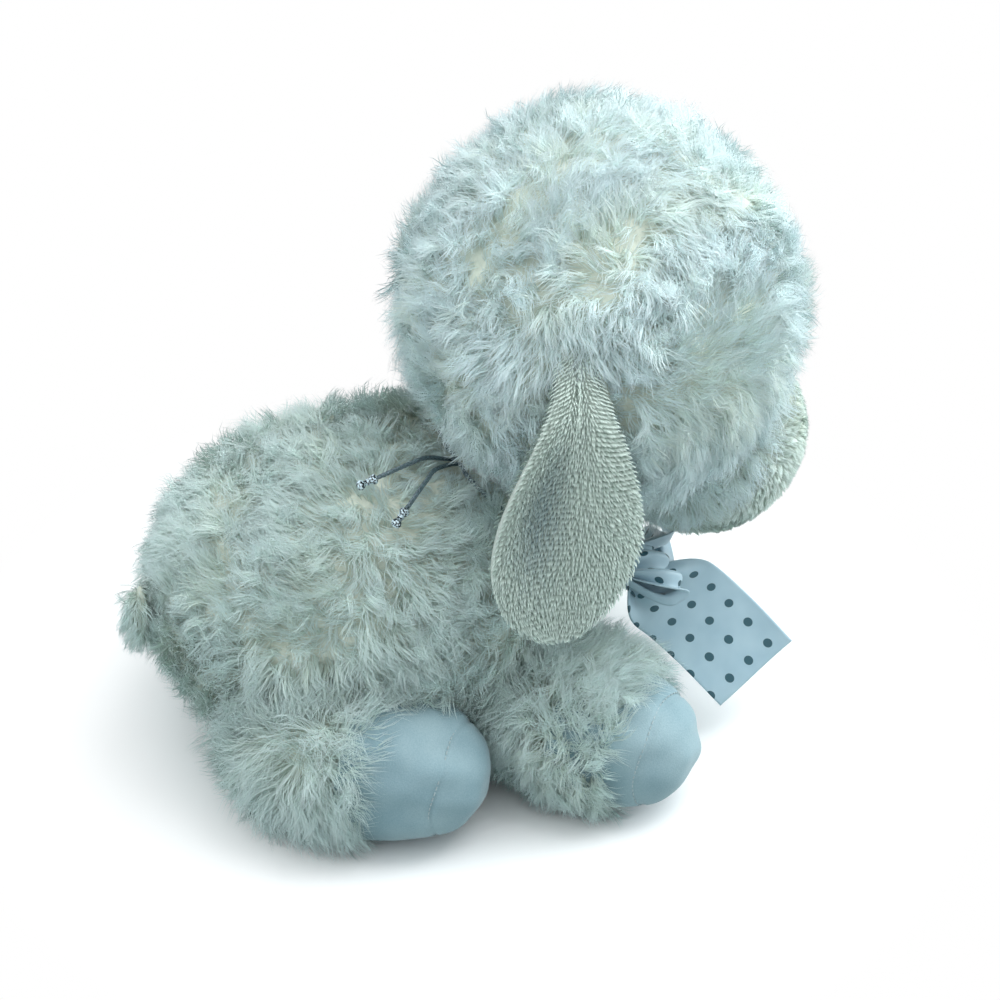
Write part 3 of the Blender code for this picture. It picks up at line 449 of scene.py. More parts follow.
def facing(direction, up=(0, 0, 1)):
    """Axes whose second one runs along a direction, as the columns of an array."""
    along = unit(np.array(direction, dtype=float))
    side = unit(np.cross(along, np.array(up, dtype=float)))
    return np.column_stack([side, along, np.cross(side, along)])


class Form:
    """A soft closed form between a ball and a block, which may taper along its own Y axis."""

    def __init__(self, centre, half_sizes, fullness, axes=None, taper=0.0):
        self.centre = np.array(centre, dtype=float)
        self.half = np.array(half_sizes, dtype=float)
        self.fullness = fullness
        self.axes = np.eye(3) if axes is None else np.array(axes)
        self.taper = taper

    def grown(self, amount):
        """The same form, larger all round by an amount, or smaller where it is negative."""
        return Form(self.centre, self.half + amount, self.fullness, self.axes, self.taper)

    def surface(self, directions):
        """The points of the surface that belong to directions in the form's own axes."""
        powers = np.abs(directions / self.half) ** self.fullness
        points = directions / (powers.sum(axis=-1, keepdims=True) ** (1 / self.fullness))
        width = 1 + self.taper * points[..., 1:2] / self.half[1]
        points = points * np.concatenate([width, np.ones_like(width), width], axis=-1)
        return points @ self.axes.T + self.centre

    def own(self, points):
        """Points in the form's own axes, counted from its middle."""
        return (points - self.centre) @ self.axes

    def shares(self, points):
        """Each point's place as shares of the half sizes there."""
        own = self.own(points)
        width = np.maximum(1 + self.taper * np.clip(own[..., 1:2] / self.half[1], -1, 1), GAP)
        return own / (self.half * np.concatenate([width, np.ones_like(width), width], axis=-1))

    def clearance(self, points):
        """How far outside the form each point lies along the ray from its middle; inside it is negative."""
        size = (np.abs(self.shares(points)) ** self.fullness).sum(axis=-1) ** (1 / self.fullness)
        return np.linalg.norm(points - self.centre, axis=-1) * (1 - 1 / np.maximum(size, TINY))

    def normals(self, points):
        """The way out of the form at points on or near its surface."""
        shares = self.shares(points)
        slope = np.sign(shares) * np.abs(shares) ** (self.fullness - 1) / self.half
        return unit(slope @ self.axes.T)

    def reach(self, origin, directions):
        """How far each ray from a point inside the form runs to its surface."""
        near = np.zeros(len(directions))
        far = np.full(len(directions), 4 * self.half.max())
        for _ in range(HALVINGS):
            middle = (near + far) / 2
            inside = self.clearance(origin + directions * middle[:, None]) < 0
            near = np.where(inside, middle, near)
            far = np.where(inside, far, middle)
        return near

    def grid(self, rings, meridians, first=-math.pi / 2, last=math.pi / 2):
        """Points ring by ring between two latitudes, the poles on the form's own Y axis."""
        latitudes = np.linspace(first, last, rings)[:, None]
        longitudes = np.linspace(0, 2 * math.pi, meridians + 1)[None]
        directions = np.stack([np.cos(latitudes) * np.cos(longitudes),
                               np.sin(latitudes) * np.ones_like(longitudes),
                               np.cos(latitudes) * np.sin(longitudes)], axis=-1)
        return self.surface(directions)


def pressed(points, centre, neighbour):
    """Points drawn back towards a centre until none lies inside a neighbouring form."""
    points = points.copy()
    inside = neighbour.clearance(points) < 0
    near = np.zeros(inside.sum())
    far = np.ones(inside.sum())
    rays = points[inside] - centre
    for _ in range(HALVINGS):
        middle = (near + far) / 2
        within = neighbour.clearance(centre + rays * middle[:, None]) < 0
        far = np.where(within, middle, far)
        near = np.where(within, near, middle)
    points[inside] = centre + rays * near[:, None]
    return points


def lock_dips(form, points):
    """How deep the fleece is drawn in between its locks at points of a form's surface."""
    x, y, z = np.moveaxis(form.own(points) * math.sqrt(2) * math.pi / LOCK_SPACING, -1, 0)
    waves = np.sin(x) * np.cos(y) + np.sin(y) * np.cos(z) + np.sin(z) * np.cos(x)
    fade = np.clip(points[..., 2] / LOCK_FADE_HEIGHT, 0, 1)
    return LOCK_DEPTH * (1 - waves / LOCK_WAVE_HEIGHT) / 2 * fade


def drawn_in(form, points, normals, depth):
    """Points at a depth under a form's surface, drawn in between its locks."""
    return points - normals * lock_dips(form, points + normals * depth)[..., None]


def fleece_cloth(form):
    """The cloth under a form's pile."""
    cloth = form.grown(-BACKING_DEPTH)
    grid = cloth.grid(*CLOTH_GRID)
    return drawn_in(form, grid, cloth.normals(grid), BACKING_DEPTH)


def on_floor(points, height=FLOOR_CLEARANCE):
    """Points raised to the floor where they lie lower."""
    points = points.copy()
    points[..., 2] = np.maximum(points[..., 2], height)
    return points


def swirl(points, size, seed):
    """A smooth field of vectors about one long, which changes over about a size."""
    rng = np.random.default_rng(seed)
    ways = unit(rng.normal(size=(SWIRL_WAVES, 3))) * 2 * math.pi / size
    ways *= rng.uniform(*SWIRL_SPREAD, (SWIRL_WAVES, 1))
    phases = rng.uniform(0, 2 * math.pi, SWIRL_WAVES)
    amounts = rng.normal(size=(SWIRL_WAVES, 3))
    return np.sin(points @ ways.T + phases) @ amounts / math.sqrt(SWIRL_WAVES / 2)


def smooth_path(points, shares):
    """Points at shares of a curve that eases through the given ones."""
    points = np.array(points)
    padded = np.vstack([2 * points[0] - points[1], points, 2 * points[-1] - points[-2]])
    places = np.array(shares) * (len(points) - 1)
    legs = np.minimum(places.astype(int), len(points) - 2)
    t = (places - legs)[:, None]
    a, b, c, d = (padded[legs + step] for step in range(4))
    return (2 * b + (c - a) * t + (2 * a - 5 * b + 4 * c - d) * t ** 2 + (3 * b - a - 3 * c + d) * t ** 3) / 2


# Where the forms lie
SHEEP = np.array(frame["record"]["mounts"][0]["pos_m"])
PIVOTS = {joint["name"]: np.array(joint["pos_m"]) for joint in frame["joints"]}
BODY_MIDDLE = SHEEP + UP * (BODY_HEIGHT / 2 - FLOOR_CUT)
BODY = Form(BODY_MIDDLE, (BODY_WIDTH / 2, BODY_LENGTH / 2, BODY_HEIGHT / 2), BODY_FULLNESS,
            taper=BODY_TAPER_SHARE)
NECK_PIVOT = PIVOTS["head_turn"]
HEAD_MIDDLE = NECK_PIVOT + spot(0, HEAD_REACH, HEAD_RISE)
HEAD_AXES = turn(SIDEWAYS, HEAD_BOW_DEGREES)
HEAD = Form(HEAD_MIDDLE, (HEAD_WIDTH / 2, HEAD_DEPTH / 2, HEAD_HEIGHT / 2), HEAD_FULLNESS, HEAD_AXES)
FACE_WAY = turn(SIDEWAYS, FACE_DROP_DEGREES) @ FORWARD
FACE = Form(HEAD_MIDDLE + FACE_WAY * FACE_REACH, [FACE_SIZE / 2] * 3, FACE_FULLNESS, HEAD_AXES)
HEAD_REST = BODY.grown(2 * GAP)
NECK_WAD = Form(NECK_PIVOT, [NECK_WAD_RADIUS] * 3, fullness=2)


def leg_form(side, root, toe, thickness, toe_share):
    """A leg that tapers from the hip to the toe."""
    root = SHEEP + spot(side * root[1], root[0], 0)
    toe = SHEEP + spot(side * toe[1], toe[0], 0)
    half_length = np.linalg.norm(toe - root) / 2
    middle = (root + toe) / 2 + UP * (thickness / 2 - FLOOR_CUT)
    axes = facing(unit(toe - root) - UP * thickness / 2 * toe_share / half_length)
    return Form(middle, (thickness / 2, half_length, thickness / 2), LEG_FULLNESS, axes, -toe_share)


LEGS = {kind + "_" + name: leg_form(side, *shape)
        for name, side in SIDES.items() for kind, shape in LEG_SHAPES.items()}


class Nodes:
    """The node tree of a material or of the world."""

    def __init__(self, owner):
        owner.use_nodes = True
        self.nodes = owner.node_tree.nodes
        self.links = owner.node_tree.links

    def set(self, socket, value):
        """Link a socket to another, or give it a value; a colour is given without its alpha."""
        if isinstance(value, bpy.types.NodeSocket):
            self.links.new(value, socket)
        else:
            socket.default_value = (*value, 1) if socket.type == "RGBA" else value

    def node(self, kind, settings=None, **inputs):
        """A node with its settings and its inputs, in whose names underscores stand for spaces."""
        node = self.nodes.new("ShaderNode" + kind)
        for name, value in (settings or {}).items():
            setattr(node, name, value)
        for name, value in inputs.items():
            self.set(node.inputs[name.replace("_", " ")], value)
        return node

    def result(self, kind, settings, *values):
        """The first output of a node whose inputs are given in their order."""
        node = self.node(kind, settings)
        for socket, value in zip(node.inputs, values):
            self.set(socket, value)
        return node.outputs[0]

    def math(self, operation, *values):
        """The result of a sum on its values."""
        return self.result("Math", {"operation": operation}, *values)

    def seen(self):
        """One for the rays that see the backdrop, from the camera and from gloss, and zero for others."""
        rays = self.node("LightPath").outputs
        return self.math("MAXIMUM", rays["Is Camera Ray"], rays["Is Glossy Ray"])

    def show(self, output, share, under, over):
        """Show one shader laid over another by a share."""
        blend = self.result("MixShader", None, share, under.outputs[0], over.outputs[0])
        self.links.new(blend, self.nodes[output].inputs["Surface"])


class Finish(Nodes):
    """A material made of nodes round one shader."""

    def __init__(self, name, roughness, **uniform):
        self.material = bpy.data.materials.new(name)
        super().__init__(self.material)
        self.shader = self.nodes["Principled BSDF"]
        self.set(self.shader.inputs["Roughness"], roughness)
        for socket, value in uniform.items():
            self.set(self.shader.inputs[socket.replace("_", " ")], value)

    def place(self):
        """The object's own coordinates."""
        return self.node("TexCoord").outputs["Object"]

    def uv(self, layer):
        """The coordinates of a UV map."""
        return self.node("UVMap", {"uv_map": layer}).outputs["UV"]

    def noise(self, size, detail):
        """Smooth noise whose lumps are about a size."""
        node = self.node("TexNoise", Vector=self.place(), Scale=1 / size, Detail=detail)
        return node.outputs["Fac"]

    def ramp(self, value, *colours, stops=(0.3, 0.7)):
        """A colour that follows a value through colours at their stops."""
        node = self.node("ValToRGB", Fac=value)
        elements = node.color_ramp.elements
        while len(elements) < len(stops):
            elements.new(0.5)
        for element, at, colour in zip(elements, stops, colours):
            element.position = at
            element.color = (*colour, 1)
        return node.outputs["Color"]

    def mix(self, share, first, second, blend="MIX"):
        """One colour laid over another."""
        node = self.node("Mix", {"data_type": "RGBA", "blend_type": blend})
        for name, value in (("Factor_Float", share), ("A_Color", first), ("B_Color", second)):
            self.set(next(item for item in node.inputs if item.identifier == name), value)
        return next(item for item in node.outputs if item.identifier == "Result_Color")

    def colour(self, value):
        """The surface's colour."""
        self.set(self.shader.inputs["Base Color"], value)

    def bump(self, height, distance, strength=1.0):
        """Fine relief."""
        node = self.node("Bump", Height=height, Distance=distance, Strength=strength)
        self.set(self.shader.inputs["Normal"], node.outputs["Normal"])


def pile_finish(name, root, middle, tip, low_tint_and_painted_shade):
    """Fibres darker and warmer near the cloth and whiter at their tips, which differ from lock to lock; the
    darkness near the cloth is painted shade of the hollows between the locks, and the warmer cream is the fibres'
    own.
    """
    finish = Finish(name, roughness=0.6, Sheen_Weight=0.25, Sheen_Roughness=0.4, Specular_IOR_Level=0.35,
                    Subsurface_Weight=0.5, Subsurface_Radius=(1, 1, 1), Subsurface_Scale=1.5 * MM)
    finish.shader.subsurface_method = "BURLEY"
    parts = finish.node("SeparateXYZ", Vector=finish.uv(STRAND_UV)).outputs
    # Painted shade: the root colour is darker than the tip, as the hollows between the locks would be in shade;
    # its warmer cream is the fibres' own.
    along = finish.ramp(parts["Y"], root, middle, tip, stops=(0.0, 0.55, 1.0))
    # On most piles the lowest tint is the fibres' own warmer tone. On the ear it is the painted shade of its dent.
    tint_and_painted_shade = finish.ramp(parts["X"], low_tint_and_painted_shade, (0.95, 0.96, 0.94), (1, 1, 1), stops=(0.0, 0.5, 1.0))
    finish.colour(finish.mix(1.0, along, tint_and_painted_shade, "MULTIPLY"))
    return finish.material


def grained_finish(name, roughness, size, detail, low, high, relief, strength=1.0, **uniform):
    """A finish whose colour and fine relief follow one noise."""
    finish = Finish(name, roughness, **uniform)
    grain = finish.noise(size, detail)
    finish.colour(finish.ramp(grain, low, high))
    finish.bump(grain, relief, strength)
    return finish.material


def knit_finish(name, low, high, size):
    """The knitted cloth that pile is rooted in."""
    return grained_finish(name, roughness=0.95, size=size, detail=3.0, low=low, high=high, relief=0.3 * MM,
                          Sheen_Weight=0.2)


def thread_finish(name, roughness, low, high, **uniform):
    """Twisted fibre."""
    return grained_finish(name, roughness, size=0.5 * MM, detail=4.0, low=low, high=high, relief=0.08 * MM,
                          **uniform)


def plastic_finish(name, roughness, low, high, coat):
    """Hard moulded plastic."""
    return grained_finish(name, roughness, size=2 * MM, detail=3.0, low=low, high=high, relief=0.01 * MM,
                          strength=0.3, Coat_Weight=coat, Coat_Roughness=0.05)


def velour_finish():
    """Smooth short velour, faintly mottled where the nap was brushed."""
    finish = Finish("foot_velour", roughness=0.85, Sheen_Weight=0.35, Sheen_Roughness=0.35,
                    Specular_IOR_Level=0.2)
    nap = finish.noise(0.35 * MM, 2.0)
    patches = finish.noise(14 * MM, 2.0)
    patches = finish.ramp(patches, (0.24, 0.36, 0.41), (0.32, 0.44, 0.48), stops=(0.35, 0.65))
    fibres = finish.ramp(nap, (0.2, 0.31, 0.35), (0.42, 0.56, 0.6))
    finish.colour(finish.mix(0.25, patches, fibres))
    finish.bump(nap, 0.12 * MM, 0.6)
    return finish.material


def satin_finish():
    """Woven satin with a fine rib across it and rows of plain dots."""
    finish = Finish("satin", roughness=0.38, Sheen_Weight=0.2, Specular_IOR_Level=0.5, Anisotropic=0.5)
    uv = finish.uv("ribbon")
    ribs = finish.node("TexWave", {"bands_direction": "Y"}, Vector=uv, Scale=900.0, Distortion=0.4)
    cells = finish.node("TexVoronoi", {"voronoi_dimensions": "2D"}, Vector=uv, Scale=150.0,
                        Randomness=0.0)
    in_dot = finish.math("LESS_THAN", cells.outputs["Distance"], 0.17)
    base = finish.ramp(finish.noise(9 * MM, 2.0), (0.37, 0.53, 0.62), (0.46, 0.62, 0.7))
    finish.colour(finish.mix(in_dot, base, (0.02, 0.09, 0.12)))
    finish.bump(ribs.outputs["Fac"], 0.03 * MM, 0.5)
    return finish.material


def metal_finish():
    """Bright crimped metal with fine scratches, whose colour is a painted reflection: sharp patches of near black
    and bright silver stand in for dark surroundings and glints.
    """
    finish = Finish("barb_metal", roughness=0.22, Metallic=1.0)
    glints_and_scratches = finish.noise(0.5 * MM, 5.0)
    # Painted reflection and glints: the colour jumps between near black and bright silver.
    finish.colour(finish.ramp(glints_and_scratches, (0.015, 0.02, 0.025), (0.68, 0.82, 0.88), stops=(0.44, 0.56)))
    finish.set(finish.shader.inputs["Roughness"], finish.math("MULTIPLY_ADD", glints_and_scratches, 0.3, 0.5))
    finish.bump(glints_and_scratches, 0.05 * MM, 0.5)
    return finish.material


# Each pile's roots are darker than its tips. This is painted shade between the locks and rows, over the fibres'
# own warmer cream.
LONG_PILE = pile_finish("long_pile", root=(0.76, 0.86, 0.8), middle=(0.8, 0.92, 0.93), tip=(0.83, 0.95, 1.0),
                        low_tint_and_painted_shade=(1.0, 0.96, 0.84))
# Painted shade: the body, legs and tail wear a darker copy of the long pile, because they lie lower and less in
# the light than the head. Its darker roots are painted shade between the locks.
BODY_PILE_PAINTED_SHADE = pile_finish("body_long_pile", root=(0.54, 0.62, 0.54), middle=(0.69, 0.81, 0.78),
                        tip=(0.76, 0.89, 0.91), low_tint_and_painted_shade=(1.0, 0.96, 0.84))
SHORT_PILE = pile_finish("short_pile", root=(0.5, 0.56, 0.5), middle=(0.7, 0.79, 0.75), tip=(0.82, 0.92, 0.9),
                         low_tint_and_painted_shade=(0.98, 0.96, 0.86))
# The ear's very dark roots are painted shade between its rows of tufts, and its lowest tint is the painted shade
# of its dent.
EAR_PILE = pile_finish("ear_pile", root=(0.3, 0.36, 0.32), middle=(0.6, 0.7, 0.65), tip=(0.86, 0.97, 0.93),
                       low_tint_and_painted_shade=(0.45, 0.52, 0.58))
BACKING = knit_finish("pile_backing", (0.6, 0.64, 0.54), (0.74, 0.78, 0.68), 2 * MM)
SHORT_BACKING = knit_finish("short_pile_backing", (0.46, 0.52, 0.47), (0.62, 0.69, 0.64), 1 * MM)
VELOUR = velour_finish()
FILLING = grained_finish("filling", roughness=0.95, size=1.5 * MM, detail=6.0, low=(0.7, 0.71, 0.72),
                         high=(0.92, 0.93, 0.93), relief=0.5 * MM, Sheen_Weight=0.3)
SATIN = satin_finish()
SILVER = thread_finish("silver_thread", 0.2, (0.15, 0.198, 0.222), (0.25, 0.33, 0.37), Metallic=0.95,
                       Sheen_Weight=0.0)
METAL = metal_finish()
EYE = plastic_finish("eye_gloss", 0.08, (0.012, 0.012, 0.014), (0.0168, 0.0168, 0.0196), coat=0.6)
WASHER = plastic_finish("washer_plastic", 0.4, (0.06, 0.06, 0.065), (0.084, 0.084, 0.091), coat=0.0)
BROWN_THREAD = thread_finish("nose_thread", 0.6, (0.096, 0.054, 0.039), (0.16, 0.09, 0.065), Sheen_Weight=0.4)
SEAM_THREAD = thread_finish("seam_thread", 0.7, (0.3, 0.36, 0.372), (0.5, 0.6, 0.62), Sheen_Weight=0.4)


def add_piece(name, data, finish, body, node=None, smooth=True):
    """One named piece that rides on a body; it may stand for a node."""
    data.name = name
    data.materials.append(finish)
    if smooth:
        data.shade_smooth()
    piece = add_object(name, data)
    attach(piece, body)
    if node is not None:
        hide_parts(node)
    return piece


def grid_mesh(points, uv_scale=None):
    """A mesh over rows of points whose last column repeats the first; with a UV scale it is an open strip."""
    rows, columns = points.shape[:2]
    kept = columns - 1 if uv_scale is None else columns
    mesh = bmesh.new()
    grid = [[mesh.verts.new(point) for point in row[:kept]] for row in points]
    layer = None if uv_scale is None else mesh.loops.layers.uv.new("ribbon")
    for row in range(rows - 1):
        for column in range(columns - 1):
            corners = ((row, column), (row, column + 1), (row + 1, column + 1), (row + 1, column))
            face = mesh.faces.new([grid[at_row][at_column % kept] for at_row, at_column in corners])
            if layer is not None:
                for loop, (at_row, at_column) in zip(face.loops, corners):
                    loop[layer].uv = (at_column * uv_scale[0], at_row * uv_scale[1])
    bmesh.ops.remove_doubles(mesh, verts=mesh.verts, dist=MERGE_DISTANCE)
    bmesh.ops.dissolve_degenerate(mesh, edges=mesh.edges, dist=MERGE_DISTANCE)
    bmesh.ops.recalc_face_normals(mesh, faces=mesh.faces)
    data = bpy.data.meshes.new("grid")
    mesh.to_mesh(data)
    mesh.free()
    return data


def tube_mesh(routes, radius, roundness=1):
    """Round threads along their routes, as one mesh."""
    curve = bpy.data.curves.new("threads", "CURVE")
    curve.dimensions = "3D"
    for route in routes:
        spline = curve.splines.new("POLY")
        spline.points.add(len(route) - 1)
        spline.points.foreach_set("co", np.column_stack([route, np.ones(len(route))]).ravel())
    curve.bevel_depth = radius
    curve.bevel_resolution = roundness
    curve.use_fill_caps = True
    holder = bpy.data.objects.new("threads", curve)
    data = bpy.data.meshes.new_from_object(holder)
    bpy.data.objects.remove(holder)
    bpy.data.curves.remove(curve)
    return data


def lathe_grid(profile, base, axes, meridians=LATHE_MERIDIANS):
    """Points of a turned solid: profile gives (radius, distance along the second axis)."""
    angles = np.linspace(0, 2 * math.pi, meridians + 1)
    rows = [np.column_stack([radius * np.cos(angles), np.full(len(angles), along), radius * np.sin(angles)])
            for radius, along in profile]
    return base + np.array(rows) @ axes.T


@dataclass
class Coat:
    """How a pile grows: lengths and angles of its strands, and how they gather in locks."""
    length: float
    width: float
    knots: int
    root_lean: tuple
    tip_lean: tuple
    curl: float
    curl_turns: float
    lock_strands: int
    lock_pull: float
    lay_size: float
    downward: float
    scatter: float


LONG_COAT = Coat(length=11 * MM, width=0.2 * MM, knots=5, root_lean=(5, 45), tip_lean=(60, 105),
                 curl=1.6 * MM, curl_turns=0.9, lock_strands=12, lock_pull=0.38, lay_size=40 * MM,
                 downward=0.3, scatter=0.9)
SHORT_COAT = Coat(length=2.2 * MM, width=0.3 * MM, knots=3, root_lean=(10, 35), tip_lean=(45, 80),
                  curl=0.15 * MM, curl_turns=0.5, lock_strands=12, lock_pull=0.5, lay_size=20 * MM,
                  downward=0.6, scatter=0.35)


def lines_of(roots, normals, lays, lengths, root_lean, tip_lean, knots):
    """Middle lines that leave the cloth steeply and lean over towards their lay."""
    shares = (np.arange(knots - 1) + 0.5) / (knots - 1)
    leans = root_lean[:, None] + (tip_lean - root_lean)[:, None] * shares
    steps = normals[:, None] * np.cos(leans)[..., None] + lays[:, None] * np.sin(leans)[..., None]
    steps = steps * (lengths / (knots - 1))[:, None, None]
    runs = np.concatenate([np.zeros((len(roots), 1, 3)), np.cumsum(steps, axis=1)], axis=1)
    return roots[:, None] + runs


def along_cloth(vectors, normals):
    """The part of each vector that runs along the cloth."""
    return unit(vectors - normals * (vectors * normals).sum(axis=-1, keepdims=True))


def nearest_tree(points):
    """A tree that finds the nearest of some points."""
    tree = KDTree(len(points))
    for index, point in enumerate(points):
        tree.insert(point, index)
    tree.balance()
    return tree


def grow(roots, normals, coat, length_shares, seed, way):
    """The strands of a coat: their middle lines, the way across each, and a tint for each."""
    rng = np.random.default_rng(seed)
    count = len(roots)
    lock_count = max(count // coat.lock_strands, 1)
    chosen = rng.choice(count, lock_count, replace=False)
    lock_roots = roots[chosen]
    lock_normals = normals[chosen]
    tree = nearest_tree(lock_roots)
    owner = np.array([tree.find(root)[1] for root in roots])

    lean = swirl(lock_roots, coat.lay_size, seed) - UP * coat.downward
    lean = lean + np.broadcast_to(way, roots.shape)[chosen]
    lock_lays = along_cloth(lean + rng.normal(size=(lock_count, 3)) * coat.scatter, lock_normals)
    lock_lengths = coat.length * rng.uniform(*LOCK_LENGTH_SPREAD, lock_count) * length_shares[chosen]
    root_leans = np.radians(rng.uniform(*coat.root_lean, lock_count))
    tip_leans = np.radians(rng.uniform(*coat.tip_lean, lock_count))
    guides = lines_of(lock_roots, lock_normals, lock_lays, lock_lengths, root_leans, tip_leans, coat.knots)
    phases = rng.uniform(0, 2 * math.pi, lock_count)

    lays = along_cloth(lock_lays[owner] + rng.normal(size=(count, 3)) * LAY_SCATTER, normals)
    lengths = coat.length * length_shares * rng.uniform(*LENGTH_SPREAD, count)
    own_root_leans = root_leans[owner] + rng.normal(size=count) * ROOT_LEAN_SCATTER
    own_tip_leans = tip_leans[owner] + rng.normal(size=count) * TIP_LEAN_SCATTER
    lines = lines_of(roots, normals, lays, lengths, own_root_leans, own_tip_leans, coat.knots)
    stray = rng.random(count) < STRAY_SHARE
    pull = np.where(stray, STRAY_PULL, coat.lock_pull * rng.uniform(*PULL_SPREAD, count))
    shares = np.linspace(0, 1, coat.knots)
    lines += (guides[owner] - lines) * (pull[:, None] * shares ** PULL_POWER)[..., None]

    across = unit(np.cross(lock_normals, lock_lays))[owner]
    angles = phases[owner][:, None] + 2 * math.pi * coat.curl_turns * shares
    angles = angles + rng.normal(size=(count, 1)) * CURL_SCATTER
    swing = (coat.curl * length_shares * rng.uniform(*CURL_SPREAD, count))[:, None] * shares
    lines += across[:, None] * (swing * np.sin(angles))[..., None]
    lines += normals[:, None] * (CURL_LIFT_SHARE * swing * np.cos(angles))[..., None]

    ways = unit(normals[:, None] + rng.normal(size=(count, 1, 3)) * BAND_TILT)
    sides = unit(np.cross(unit(np.diff(lines, axis=1)), ways))
    patches = swirl(roots, PATCH_SIZE, seed + 1)[:, 0]
    tints = TINT_MIDDLE + PATCH_TINT * patches + LOCK_TINT * rng.normal(size=lock_count)[owner]
    tints += STRAND_TINT * rng.normal(size=count)
    return lines, sides, np.clip(tints, *TINT_LIMITS)


def strand_mesh(lines, sides, tints, width):
    """Strands as narrow tapered bands, each with its tint and its place along it in the UV map."""
    count, knots = lines.shape[:2]
    lines = on_floor(lines)
    places = np.arange(knots - 1) / (knots - 1)
    half = sides * (width / 2 * np.interp(places, BAND_PLACE_SHARES, BAND_WIDTH_SHARES))[None, :, None]
    pairs = np.stack([lines[:, :-1] - half, lines[:, :-1] + half], axis=2).reshape(count, -1, 3)
    points = np.concatenate([pairs, lines[:, -1:]], axis=1)
    per = points.shape[1]

    pattern = []
    for row in range(knots - 2):
        pattern += [2 * row, 2 * row + 1, 2 * row + 3, 2 * row + 2]
    pattern += [per - 3, per - 2, per - 1]
    corners = (np.arange(count)[:, None] * per + np.array(pattern)[None]).ravel()
    totals = np.tile([4] * (knots - 2) + [3], count)
    starts = np.concatenate([[0], np.cumsum(totals)[:-1]])

    data = bpy.data.meshes.new("strands")
    data.vertices.add(count * per)
    data.vertices.foreach_set("co", points.astype(np.float32).ravel())
    data.loops.add(len(corners))
    data.loops.foreach_set("vertex_index", corners.astype(np.int32))
    data.polygons.add(len(starts))
    data.polygons.foreach_set("loop_start", starts.astype(np.int32))
    data.polygons.foreach_set("use_smooth", np.ones(len(starts), dtype=bool))
    along = np.append(np.repeat(places, 2), 1) * (1 - 2 * STRAND_UV_MARGIN) + STRAND_UV_MARGIN
    offsets = np.append(np.tile([-0.5, 0.5], knots - 1), 0) * STRAND_UV_WIDTH
    uv = np.stack([tints[:, None] + offsets[None], np.tile(along, (count, 1))], axis=-1)
    layer = data.uv_layers.new(name=STRAND_UV)
    layer.data.foreach_set("uv", uv.reshape(-1, 2)[corners].astype(np.float32).ravel())
    data.update(calc_edges=True)
    return data


def scattered(points, count, rng):
    """Places spread evenly over a grid of points."""
    a, b, c, d = points[:-1, :-1], points[:-1, 1:], points[1:, 1:], points[1:, :-1]
    areas = np.linalg.norm(np.cross(c - a, d - b), axis=-1).ravel()
    cells = rng.choice(len(areas), count, p=areas / areas.sum())
    u = rng.random((count, 1))
    v = rng.random((count, 1))
    a, b, c, d = (corner.reshape(-1, 3)[cells] for corner in (a, b, c, d))
    return (a * (1 - u) + b * u) * (1 - v) + (d * (1 - u) + c * u) * v


def rooted(form, grid_size, count, seed, last=math.pi / 2):
    """Roots spread evenly over a form, and the way out at each; the seed may be a generator too."""
    roots = scattered(form.grid(*grid_size, last=last), count, np.random.default_rng(seed))
    return roots, form.normals(roots)


def eased(values, low, high):
    """0 below low and 1 above high, with a smooth rise between."""
    share = np.clip((values - low) / (high - low), 0, 1)
    return share * share * (3 - 2 * share)


def left_share(distances, near, far, least):
    """The share of the pile's length that is left at distances from what presses it."""
    return least + (1 - least) * eased(distances, near, far)


def left_by_lines(points, lines, near, far, least):
    """The same where lines press or cross the pile."""
    tree = nearest_tree(np.vstack(lines))
    return left_share(np.array([tree.find(point)[2] for point in points]), near, far, least)


def add_coat(name, strands, finish, body, coat=LONG_COAT):
    """The strands of a coat as one piece."""
    add_piece(name, strand_mesh(*strands, coat.width), finish, body, smooth=False)


def add_panels(body, side_reach, roots, strands, finish):
    """The strands of a body's long coat in three pieces: left, middle and right."""
    panels = {"left": roots[:, 0] > side_reach, "right": roots[:, 0] < -side_reach,
              "middle": np.abs(roots[:, 0]) <= side_reach}
    for panel, within in panels.items():
        add_coat(body + "_pile_" + panel, [part[within] for part in strands], finish, body)


def add_stuffing(name, form, body, node, seed):
    """Loose filling, lumpy where it isn't held by cloth."""
    grid = form.grid(*STUFFING_GRID)
    lumps = np.abs(swirl(grid, STUFFING_LUMP_SIZE, seed)[..., :1])
    grid = grid - form.normals(grid) * lumps * STUFFING_LUMP_DEPTH
    add_piece(name, grid_mesh(on_floor(grid)), FILLING, body, node)


# The line of the elastic, which presses into the pile of the neck
def body_top(forward):
    """The body's top on its middle line."""
    middle = SHEEP + spot(0, forward, BODY_MIDDLE[2])
    return middle + UP * BODY.reach(middle, UP[None])[0]


RING_BACK = body_top(ELASTIC_BACK_FORWARD)
RING_DOWN = turn(SIDEWAYS, ELASTIC_LEAN_DEGREES) @ FORWARD
RING_MIDDLE = RING_BACK + RING_DOWN * BODY.reach(RING_BACK - UP * GAP, RING_DOWN[None])[0] / 2


def ring_spot(degrees, stand_off):
    """A place over the pile round the neck: 0 is at the back, and the angle grows over the sheep's left."""
    angle = math.radians(degrees)
    out = -RING_DOWN * math.cos(angle) + SIDEWAYS * math.sin(angle)
    return RING_MIDDLE + out * (BODY.reach(RING_MIDDLE, out[None])[0] + stand_off), out


